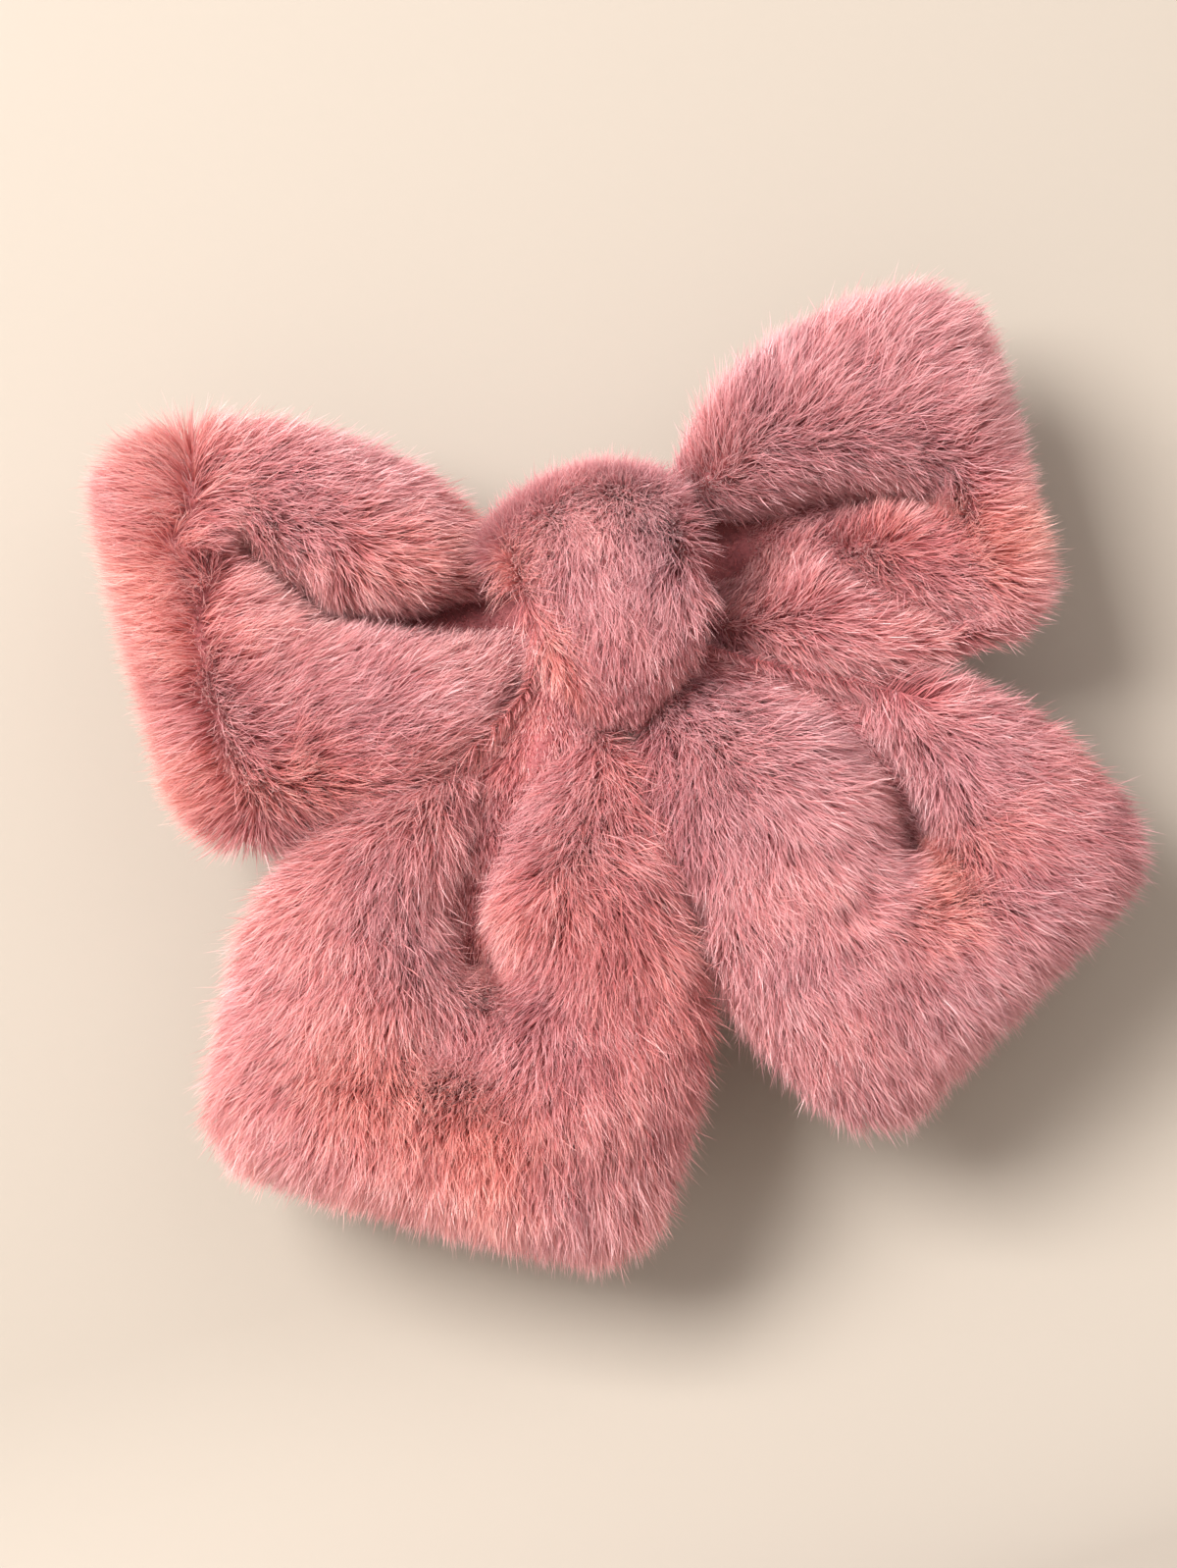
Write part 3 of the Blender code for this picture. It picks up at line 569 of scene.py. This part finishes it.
# ribbons of two four-sided faces and a pointed tip, split from left to right into pieces of mostStrands at
# most. The map's u is the strand's tone and its v the share of the way up it
mostStrands = 39000


def strandPieces(name, line, across, tone, paler):
    order = np.argsort(line[:, 0, 0], kind="stable")
    corner = np.array([0, 1, 3, 2, 2, 3, 5, 4, 4, 5, 6])
    for k, part in enumerate(np.array_split(order, math.ceil(len(line) / mostStrands))):
        n = len(part)
        points = np.empty((n, 7, 3))
        points[:, 0:6:2] = line[part, :3] - across[part, :3]
        points[:, 1:6:2] = line[part, :3] + across[part, :3]
        points[:, 6] = line[part, 3]
        mesh = bpy.data.meshes.new(f"{name}_{k + 1}")
        mesh.vertices.add(n * 7)
        mesh.vertices.foreach_set("co", (points * mm).astype(np.float32).ravel())
        mesh.loops.add(n * 11)
        corners = (np.arange(n) * 7)[:, None] + corner
        mesh.loops.foreach_set("vertex_index", corners.astype(np.int32).ravel())
        mesh.polygons.add(n * 3)
        starts = (np.arange(n) * 11)[:, None] + np.array([0, 4, 8])
        mesh.polygons.foreach_set("loop_start", starts.astype(np.int32).ravel())
        mesh.update(calc_edges=True)
        mesh.polygons.foreach_set("use_smooth", np.full(n * 3, True))
        sidePlace = np.array([-1, 1, -1, 1, -1, 1, 0]) * 0.004
        height = np.array([0.02, 0.02, 0.34, 0.34, 0.68, 0.68, 1.0]) * 0.78
        u = (tone[part][:, None] + sidePlace)[:, corner]
        v = np.clip(height[corner][None, :] * paler[part][:, None], 0.01, 0.99)
        layer = mesh.uv_layers.new(name="OFBake")
        layer.data.foreach_set("uv", np.stack([u, v], axis=-1).astype(np.float32).ravel())
        mesh.materials.append(furFibre)
        made = bpy.data.objects.new(mesh.name, mesh)
        bpy.context.scene.collection.objects.link(made)
        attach(made, "bow")


# the backing cloth under the pile: the shell with its doubled points merged and an open neck closed
def skinPiece(name, points, faces, nodes):
    made = meshFrom(name, points, faces, furBacking)
    work = bmesh.new()
    work.from_mesh(made.data)
    bmesh.ops.remove_doubles(work, verts=work.verts, dist=0.00002)
    bmesh.ops.holes_fill(work, edges=[e for e in work.edges if e.is_boundary], sides=0)
    bmesh.ops.recalc_face_normals(work, faces=work.faces)
    work.to_mesh(made.data)
    work.free()
    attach(made, "bow")
    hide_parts(*nodes)


# 1 behind the bow where the felt pad lies on it, falling to 0 round the pad
def underFelt(points):
    across, up = share(42 - np.abs(points[:, 0]), 0, 5), share(14 - np.abs(points[:, 2]), 0, 5)
    return ease(across) * ease(up) * ease(share(points[:, 1], -18, -13))


# the pile's length: shorter beside the knot and down in the creases, where it is pressed
def pressedPile(height, creases):
    def length(root, normal):
        near = np.hypot(root[:, 0] / 15, root[:, 2] / 15)
        full = height * (0.5 + 0.5 * ease(share(near, 1.1, 2.2)))
        for line, depth, width, _ in creases:
            away, _ = nearLine(root, line)
            full = full * (1 - 0.62 * min(depth / 15, 1) * np.exp(-((away / (1.3 * width)) ** 2)))
        return full * (1 - 0.8 * underFelt(root))

    return length


# more strands where the skin faces forwards or sideways than at the back
def mostlyFront(backShare):
    def keep(middle, facing):
        return backShare + (1 - backShare) * ease(share(-facing[:, 1], -0.7, 0.1))

    return keep


# the loops: one pillow pinched at its waist; pairs are left and right
loops = {
    "reach": (65.0, 63.0),
    "halfHeight": (27.6, 23.6),
    "tilt": (math.radians(9), math.radians(4)),
    "halfDepth": 12.4,
    "waist": (9.0, 4.5),  # half its height and half its depth
    "depthPlace": -18.8,
    "pile": 8.8,
    "strands": 128000,
    "creases": [
        # line in the face's plane, depth, width, share of the depth at each end
        ([(-13, 1.5), (-28, 4), (-40, 8.5), (-46, 15.5), (-50, 22)], 20.0, 4.0, (0.6, 0.45)),
        ([(13, 5), (24, 4), (36, 5), (47, 3), (52, 1)], 21.0, 4.0, (0.7, 0.5)),
        ([(50, 6), (53, -5), (55, -17)], 2.8, 6.0, (0.7, 0.7)),
        ([(15, -2), (35, -4), (50, -18)], 10.0, 4.6, (0.6, 0.6)),
        ([(-13, 10), (-24, 19), (-33, 24)], 2.0, 3.0, (0.8, 0.1)),
    ],
    "parted": [(-36, 17, 9, 0.5), (-26, 15, 7, 0.4), (-52, -13, 9, 0.5), (-48, 3, 8, 0.3), (-50, 26, 7, 0.4),
               (58, -3, 8, 0.4), (59, -15, 7, 0.35), (54, 12, 8, 0.3)],
    # painted shade on the left loop's lower lobe and on the right loop's lower part beside its crease
    "shaded": [(-48, -14, 12, 0.2), (46, -4, 10, 0.25), (40, -12, 9, 0.2)],
    # the left loop's end seam: heights, and how far left it lies there
    "seam": ([-19, 2, 13, 26, 43], [-59.0, -59.0, -57.5, -56.0, -50.5]),
}


def sideOf(pair, x):
    return np.where(x < 0, pair[0], pair[1])


# rounded sections along x whose height and depth grow from the waist by a sine and close at both ends in an
# ellipse; the sections stand closer together towards the ends
def loopPillow(rows, columns):
    leftReach, rightReach = loops["reach"]
    spread = (0.5 - 0.5 * np.cos(math.pi * np.linspace(0, 1, rows))) ** 0.96
    x = -leftReach + (leftReach + rightReach) * spread
    x[-1] = rightReach
    x, turn = np.meshgrid(x, np.linspace(0, 2 * math.pi, columns, endpoint=False), indexing="ij")
    along, reach = np.abs(x), sideOf(loops["reach"], x)
    waistHeight, waistDepth = loops["waist"]
    tall = waistHeight + (sideOf(loops["halfHeight"], x) - waistHeight) * rise(share(along, 11, 50))
    deep = waistDepth + (loops["halfDepth"] - waistDepth) * rise(share(along, 11, 48))
    tall = tall * (1 - 0.22 * (1 - closing(reach - along, 12)))
    deep = deep * closing(reach - along, 15)
    z = along * np.tan(sideOf(loops["tilt"], x)) * ease(share(along, 0, 30)) + polar(np.cos(turn), tall, 2.2)
    y = loops["depthPlace"] - 4.5 * ease(share(along, 11, 36)) + polar(np.sin(turn), deep, 2.2)
    return np.stack([x, y, z], axis=-1)


# the pillow as it settles, with its creases pressed in from the front and two shallow ones from the back
def loopShell(rows=150, columns=112):
    points = loopPillow(rows, columns)
    turn = np.linspace(0, 2 * math.pi, columns, endpoint=False)[None, :]
    fromEnd = sideOf(loops["reach"], points[..., 0]) - np.abs(points[..., 0])
    move = swelling(loopPillow, lambda p: np.abs(p[..., 0]) < 13)
    points = points + finer(move, rows, columns) * share(fromEnd, 0, 5)[..., None]
    front, back = (ease(share(s * np.sin(turn), 0.0, 0.6)) * share(fromEnd, 0, 8) for s in (-1, 1))
    push = sum(crease(points, *c) for c in loops["creases"])
    room = loops["halfDepth"] * closing(fromEnd, 15)
    points[..., 1] += front * np.minimum(push, room * 1.45)
    for line in ([(12, 0), (36, 3)], [(-12, 0), (-38, 4)]):
        points[..., 1] -= back * crease(points, line, 4.0, 3.5, (0.8, 0.2))
    points[..., 1] += (front - back) * 0.5 * ripple(points, 22, 5)
    return points


# drawn to the knot on the left loop, out from it on the right, and outwards past the end seam
def loopNap(root, normal):
    x, z = root[:, 0], root[:, 2]
    toKnot = unit(np.stack([-x, 0 * x, 0.6 * (1 - z)], axis=1))
    fromKnot = unit(np.stack([x, 0 * x, 0.9 * (z - 2)], axis=1))
    pastSeam = x - np.interp(z, *loops["seam"]) + 2.4 * ripple(root, 14, 61)
    inner = ease(share(pastSeam, -4.5, 4.5))[:, None]
    outer = unit(fromKnot + 0.5 * frontWay)
    left = toKnot * inner + outer * (1 - inner)
    right = ease(share(x, -4, 4))[:, None]
    lean = 0.98 - 0.3 * np.exp(-((pastSeam / 3.0) ** 2)) * (x < 0) * (1 + 0.7 * ripple(root, 15, 67))
    return unit(left * (1 - right) + fromKnot * right), lean


# peach where the pile is brushed the other way: past the end seam, and in the hollow at the right loop's end
def loopTone(root, normal):
    x, z = root[:, 0], root[:, 2]
    warm = 0.44 + 0.14 * ripple(root, 26, 9)
    warm = warm + 0.26 * ease(share(np.interp(z, *loops["seam"]) - x, -2, 4)) * (x < 0)
    warm = warm + 0.22 * np.exp(-(((x - 60) / 7) ** 2 + ((z + 9) / 9) ** 2))
    warm = warm + 0.12 * np.exp(-(((x - 11) / 5) ** 2 + ((z - 18) / 6) ** 2))
    return warm - 0.22 * share(x, 14, 40) * share(z, 2, 14)


loops |= {
    "nap": loopNap,
    "tone": loopTone,
    "keep": mostlyFront(0.3),
    "pileLength": pressedPile(loops["pile"], loops["creases"]),
}


def buildLoops():
    points = loopShell()
    faces = outwards(points, gridFaces(*points.shape[:2]))
    skinPiece("loops_skin", points, faces, ("loops_cover", "left_loop_filling", "right_loop_filling"))
    growFur("loops_pile", points, faces, loops, seed=11)
    print("loops built")


# the tails
tails = {
    "halfDepth": 12.2,
    "neck": (4.2, 3.3),  # half its width and half its depth
    "neckDepth": -29.2,
    "settle": 8,  # how far back the ends rest behind the necks
    "insideBulge": 6.8,  # how far they swell towards each other below the knot
    "root": (5.2, -5.0),  # where each starts, beside the middle and below it
    "pile": 9.0,
    "left": {
        "side": -1,
        "length": 86.0,
        "splay": math.radians(30.5),
        "halfWidth": 31.2,
        "strands": 92000,
        "seed": 21,
        "creases": [
            ([(-10, -12), (-18, -20), (-25, -31), (-31, -40), (-31, -47)], 21.0, 4.3, (0.85, 0.95)),
            ([(-31, -46), (-29, -50), (-22, -54)], 5.5, 6.0, (0.9, 0.35)),
            ([(-48, -55), (-34, -62), (-24, -62)], 5.0, 5.5, (0.3, 0.3)),
        ],
        "parted": [(-22, -47, 8, 0.3), (-13, -46, 7, 0.35), (-52, -62, 9, 0.5), (-42, -69, 9, 0.5),
                   (-31, -74, 9, 0.5), (-20, -76, 8, 0.4), (-60, -54, 8, 0.45)],
        # painted shade along the fold's furrow, in the gap between the tails, on the right side turned from
        # the key light and along the bottom
        "shaded": [(-19, -22, 3.5, 0.4), (-24, -30, 3.5, 0.4), (-29, -38, 3.5, 0.4), (-31, -45, 4, 0.4),
                   (0, -26, 4.5, 0.5), (0, -34, 4.5, 0.5), (1, -42, 4.5, 0.4), (-9, -62, 16, 0.45),
                   (-10, -42, 10, 0.3), (-52, -64, 9, 0.2), (-34, -74, 10, 0.28)],
    },
    "right": {
        "side": 1,
        "length": 77.5,
        "splay": math.radians(30.5),
        "halfWidth": 27.6,
        "strands": 84000,
        "seed": 31,
        "creases": [
            ([(12, -10), (24, -16), (31, -27), (36, -38), (37, -47)], 20.0, 4.2, (0.5, 0.95)),
            ([(37, -46), (40, -56), (39, -62)], 5.5, 6.0, (0.9, 0.3)),
        ],
        "parted": [(38, -54, 7, 0.35), (33, -62, 8, 0.3), (24, -52, 7, 0.3), (20, -66, 7, 0.25)],
        # painted shade on the fold's furrow, in the gap between the tails, and on the far right side and the
        # bottom
        "shaded": [(35, -38, 4, 0.4), (1, -26, 4.5, 0.5), (1, -34, 4.5, 0.5), (3, -42, 4.5, 0.4),
                   (66, -44, 14, 0.45), (56, -60, 12, 0.25), (20, -72, 9, 0.2)],
    },
}


def tailStart(tail):
    return np.array([tail["side"] * tails["root"][0], 0, tails["root"][1]])


def tailDepth(along):  # half the depth, which grows smoothly from the neck
    return tails["neck"][1] + (tails["halfDepth"] - tails["neck"][1]) * ease(share(along, 8, 62))


def tailRows(tail, rows):  # how far along the sections stand, closer together towards the end
    return tail["length"] * np.sin(np.linspace(0, math.pi / 2, rows)) ** 1.05


# rounded sections along a straight line that widen from the neck by a squared sine and close at the end
def tailPillow(tail):
    def shell(rows, columns):
        turn = np.linspace(0, 2 * math.pi, columns, endpoint=False)
        along, turn = np.meshgrid(tailRows(tail, rows), turn, indexing="ij")
        splay, length = tail["splay"], tail["length"]
        heading = np.array([tail["side"] * math.sin(splay), 0, -math.cos(splay)])
        across = np.array([math.cos(splay), 0, tail["side"] * math.sin(splay)])
        spread = rise(share(along, 8, 58) ** 0.8) ** 2
        wide = tails["neck"][0] + (tail["halfWidth"] - tails["neck"][0]) * spread
        deep = tailDepth(along)
        wide = wide * (1 - 0.2 * (1 - closing(length - along, 12)))
        deep = deep * closing(length - along, 14)
        out = polar(np.cos(turn), wide, 2.2)
        inside = share(-out * tail["side"], 0, 6) * np.exp(-(((along - 21) / 12) ** 2))
        bulged = out - tail["side"] * tails["insideBulge"] * inside
        points = tailStart(tail) + along[..., None] * heading + bulged[..., None] * across
        backwards = tails["settle"] * ease(share(along / length, 0.35, 1))
        points[..., 1] = tails["neckDepth"] + backwards + polar(np.sin(turn), deep, 2.2)
        return points

    return shell


# the pillow as it settles, with its creases pressed in from the front and a shallow one from the back
def tailShell(tail, rows=120, columns=104):
    pillow = tailPillow(tail)
    points = pillow(rows, columns)
    along = tailRows(tail, rows)[:, None]
    turn = np.linspace(0, 2 * math.pi, columns, endpoint=False)[None, :]
    heading = np.array([tail["side"] * math.sin(tail["splay"]), 0, -math.cos(tail["splay"])])
    start = tailStart(tail)
    fromEnd = tail["length"] - along
    move = swelling(pillow, lambda p: (p - start) @ heading < 14)
    points = points + finer(move, rows, columns) * share(fromEnd, 0, 5)[..., None]
    front, back = (ease(share(s * np.sin(turn), 0.0, 0.6)) * share(fromEnd, 0, 8) for s in (-1, 1))
    push = sum(crease(points, *c) for c in tail["creases"])
    points[..., 1] += front * np.minimum(push, tailDepth(along) * closing(fromEnd, 14) * 1.45)
    middleLine = [tuple((start + heading * s)[[0, 2]]) for s in (12, 50)]
    points[..., 1] -= back * crease(points, middleLine, 3.0, 3.5, (0.8, 0.2))
    points[..., 1] += (front - back) * 0.5 * ripple(points, 22, 15)
    return points


def tailNap(tail):  # away from the knot, fanning outwards
    def nap(root, normal):
        way = root - np.array([tail["side"] * 3.0, 0, 4.0])
        way[:, 1] = 0
        return unit(way), 0.98 + 0.1 * ripple(root, 30, 21)

    return nap


# the left tail is a little warmer; the right one is cool with a peach hollow where its fold ends
def tailTone(tail):
    def tone(root, normal):
        x, z = root[:, 0], root[:, 2]
        if tail["side"] < 0:
            return 0.48 + 0.15 * ripple(root, 24, 31) + 0.10 * share(-x, 40, 70)
        hollow = np.exp(-(((x - 39) / 6) ** 2 + ((z + 55) / 8) ** 2))
        return 0.36 + 0.15 * ripple(root, 24, 37) - 0.18 * share(x - z, 98, 120) + 0.36 * hollow

    return tone


def buildTail(name):
    tail = tails[name]
    tail |= {
        "nap": tailNap(tail),
        "tone": tailTone(tail),
        "keep": mostlyFront(0.35),
        "pileLength": pressedPile(tails["pile"], tail["creases"]),
    }
    points = tailShell(tail)
    faces = outwards(points, gridFaces(*points.shape[:2]))
    skinPiece(f"{name}_tail_skin", points, faces, (f"{name}_tail_cover", f"{name}_tail_filling"))
    growFur(f"{name}_tail_pile", points, faces, tail, seed=tail["seed"])
    print(name, "tail built")


# the knot
knot = {
    "wall": 2.8,
    "halfHeight": 14.8,
    "depth": (-10.2, -37.2),  # its back and its front
    "drop": -1.5,
    "pile": 8.0,
    "strands": 40000,
    # its front's outline: heights, half the width at each, and how far right the middle is
    "outline": ([-17.5, -12, -5, 4, 16], [4.4, 8.0, 11.4, 12.8, 11.6], [0.8, 1.4, 2.4, 2.3, 1.8]),
    "crown": 2.6,  # how far its middle stands out
    "creases": [
        ([(-5.5, 18), (-6.2, 4), (-4.6, -4), (-1.5, -12)], 3.2, 1.5, (0.6, 0.8)),
        ([(1, 17), (2, 4), (1, -6)], 1.2, 2.4, (0.2, 0.1)),
    ],
    "parted": [(-3, -15, 3, 0.5), (9, -12, 4, 0.3)],
    # painted shade on the knot's lower part; the negative strength paints light on its top
    "shaded": [(2, -13, 8, 0.5), (2, 12, 8, -0.3)],
}


# a closed band round the waist: a rounded oblong path in the plane of y and z that carries a flat oval
# section, narrow where it passes between the tails, crowned in front and arched along its top
def knotShell(rows=132, columns=80):
    path = np.linspace(0, 2 * math.pi, rows, endpoint=False)
    path, turn = np.meshgrid(path, np.linspace(0, 2 * math.pi, columns, endpoint=False), indexing="ij")
    c, s = np.cos(path), np.sin(path)
    back, front = knot["depth"]
    halfDepth = (back - front - knot["wall"]) / 2
    y = (back + front) / 2 + polar(c, halfDepth, 2.6)
    z = knot["drop"] + polar(s, knot["halfHeight"], 2.6)
    out = unit(np.stack([0 * c, c / halfDepth, s / knot["halfHeight"]], axis=-1))
    frontShare = ease(share(-c, 0.0, 0.7))
    wide = np.interp(z, knot["outline"][0], knot["outline"][1]) - 3 * ease(share(c, 0.2, 1))
    middle = np.interp(z, knot["outline"][0], knot["outline"][2]) * frontShare
    off = polar(np.sin(turn), knot["wall"] / 2, 2.8)
    x = polar(np.cos(turn), wide, 2.8)
    crown = knot["crown"] * frontShare * (1 - (x / wide) ** 2) * (off > 0)
    points = np.stack([x + middle, y, z], axis=-1) + out * (off + crown)[..., None]
    points[..., 2] -= 0.017 * (points[..., 0] - 3) ** 2 * ease(share(points[..., 2], -4, 14))
    face = (off > 0) * frontShare
    for line in knot["creases"]:
        points[..., 1] += face * crease(points, *line)
    return points


# forwards over the top and down the front, drawn in towards the foot
def knotNap(root, normal):
    x = root[:, 0]
    down = unit(np.stack([0.9 * (1.0 - x) / 12, -0.1 + 0 * x, -1 + 0 * x], axis=1))
    top = ease(share(normal[:, 2], 0.4, 0.9))
    way = unit(down * (1 - top)[:, None] + np.array([0.15, -1.0, -0.1]) * top[:, None])
    lean = 1.0 - 0.25 * np.exp(-(((x + 7.0) / 1.6) ** 2)) * (normal[:, 1] < -0.3)
    return way, lean + 0.05 * ripple(root, 12, 41)


def knotPile(root, normal):  # shorter towards the foot, and pressed flat under the felt
    return knot["pile"] * (1 - 0.5 * ease(share(-root[:, 2], 6, 16))) * (1 - 0.8 * underFelt(root))


def knotTone(root, normal):
    x, z = root[:, 0], root[:, 2]
    fold = ease(share(-x, 4.0, 7.0)) * ease(share(14 - z, 0, 10)) * (normal[:, 1] < 0)
    return 0.38 + 0.14 * ripple(root, 14, 45) + 0.36 * fold - 0.14 * share(x, 4, 12)


# only the band's outer side and its edges carry pile, most of it at the front and over the top
def outerFace(middle, facing):
    toMiddle = middle - np.array([0, -23.7, -1.0])
    outer = (toMiddle[:, [1, 2]] * facing[:, [1, 2]]).sum(axis=1) > -1.5
    top = ease(share(facing[:, 2], 0.15, 0.6))
    return outer * (0.25 + 0.75 * ease(share(-middle[:, 1], 10, 20))) * (1 + 1.4 * top)


knot |= {"nap": knotNap, "tone": knotTone, "keep": outerFace, "pileLength": knotPile}


def buildKnot():
    points = knotShell()
    faces = outwards(points, gridFaces(*points.shape[:2], wrapRows=True))
    skinPiece("knot_skin", points, faces, ("knot_wrap",))
    growFur("knot_pile", points, faces, knot, seed=41)
    print("knot built")


buildLoops()
buildTail("left")
buildTail("right")
buildKnot()

# stage, light and camera
stage = {
    "wallPlace": 5.5,
    "floorPlace": -155.0,
    "bend": 60.0,  # radius where the card turns into the floor
    "halfWidth": 1500.0,
    "colour": (0.33, 0.295, 0.262),
    "key": 30.0,
    "keyPlace": (-475, -925, 525),
    "keySize": 0.56,
    "fill": 2.6,
    "back": 7.0,
    "sky": 0.93,
}


# plain card that can be seen through from behind, and that lets the back light through to the bow
def stageLook():
    look, nodes, links, shader = newLook("paleCard")
    shader.inputs["Base Color"].default_value = (*stage["colour"], 1)
    shader.inputs["Roughness"].default_value = 0.8
    shader.inputs["Specular IOR Level"].default_value = 0.1
    side = nodes.new("ShaderNodeNewGeometry")
    path = nodes.new("ShaderNodeLightPath")
    either = nodes.new("ShaderNodeMath")
    either.operation = "MAXIMUM"
    links.new(side.outputs["Backfacing"], either.inputs[0])
    links.new(path.outputs["Is Shadow Ray"], either.inputs[1])
    clear = nodes.new("ShaderNodeBsdfTransparent")
    both = nodes.new("ShaderNodeMixShader")
    links.new(either.outputs[0], both.inputs["Fac"])
    links.new(shader.outputs["BSDF"], both.inputs[1])
    links.new(clear.outputs["BSDF"], both.inputs[2])
    links.new(both.outputs["Shader"], nodes["Material Output"].inputs["Surface"])
    return look


# a card that stands close behind the bow and bends forwards into the floor, and the floor behind it
def buildStage():
    look = stageLook()
    bend, low, wall = stage["bend"], stage["floorPlace"], stage["wallPlace"]
    angle = np.linspace(0, math.pi / 2, 14)
    y = np.concatenate([[wall], wall - bend + bend * np.cos(angle), [-1000]])
    z = np.concatenate([[1800], low + bend - bend * np.sin(angle), [low]])
    side = stage["halfWidth"]
    x = np.array([-side, side])
    points = np.stack(np.broadcast_arrays(x[None, :], y[:, None], z[:, None]), axis=-1)
    i = np.arange(len(y) - 1)[:, None]
    faces = np.concatenate([i * 2, i * 2 + 1, i * 2 + 3, i * 2 + 2], axis=1)
    card = meshFrom("stage_card", points, faces[:, ::-1], look)
    near = wall - bend
    behind = np.array([[-side, near, low], [side, near, low], [side, 1300, low], [-side, 1300, low]])
    floor = meshFrom("stage_floor", behind, np.array([[0, 1, 2, 3]]), look)


def areaLight(name, place, aim, size, power, colour):
    data = bpy.data.lights.new(name, "AREA")
    data.shape = "SQUARE"
    data.size, data.energy, data.color = size, power, colour
    lamp = bpy.data.objects.new(name, data)
    bpy.context.scene.collection.objects.link(lamp)
    lamp.location = [c * mm for c in place]
    way = Vector([(b - a) for a, b in zip(place, aim)])
    lamp.rotation_euler = way.to_track_quat("-Z", "Y").to_euler()


def buildLights():
    aim = (0, -20, -20)
    areaLight("key", stage["keyPlace"], aim, stage["keySize"], stage["key"], (1.0, 0.97, 0.92))
    areaLight("fill", (650, -950, 420), aim, 0.8, stage["fill"], (1.0, 0.96, 0.95))
    areaLight("backFill", (-300, 800, 500), aim, 0.8, stage["back"], (1.0, 0.97, 0.94))
    world = bpy.data.worlds.new("softRoom")
    world.use_nodes = True
    world.node_tree.nodes["Background"].inputs["Color"].default_value = (1.0, 0.935, 0.87, 1)
    world.node_tree.nodes["Background"].inputs["Strength"].default_value = stage["sky"]
    bpy.context.scene.world = world
    bpy.context.scene.view_settings.view_transform = "Standard"


def buildCamera():  # square on to the bow's face, rolled so that the right loop sits higher
    roll, distance, middle = math.radians(15.5), 620.0, Vector((-8.3, -24.0, -27.1))
    data = bpy.data.cameras.new("camera")
    data.sensor_width, data.lens = 36, 18 * distance / 119.85
    data.clip_start, data.clip_end = 0.01, 20
    made = bpy.data.objects.new("camera", data)
    bpy.context.scene.collection.objects.link(made)
    up, back = Vector((math.sin(roll), 0, math.cos(roll))), Vector((0, -1, 0))
    turn = Matrix((up.cross(back), up, back)).transposed()
    made.matrix_world = Matrix.Translation((middle + back * distance) * mm) @ turn.to_4x4()
    bpy.context.scene.camera = made


buildStage()
buildLights()
buildCamera()
print("stage built")
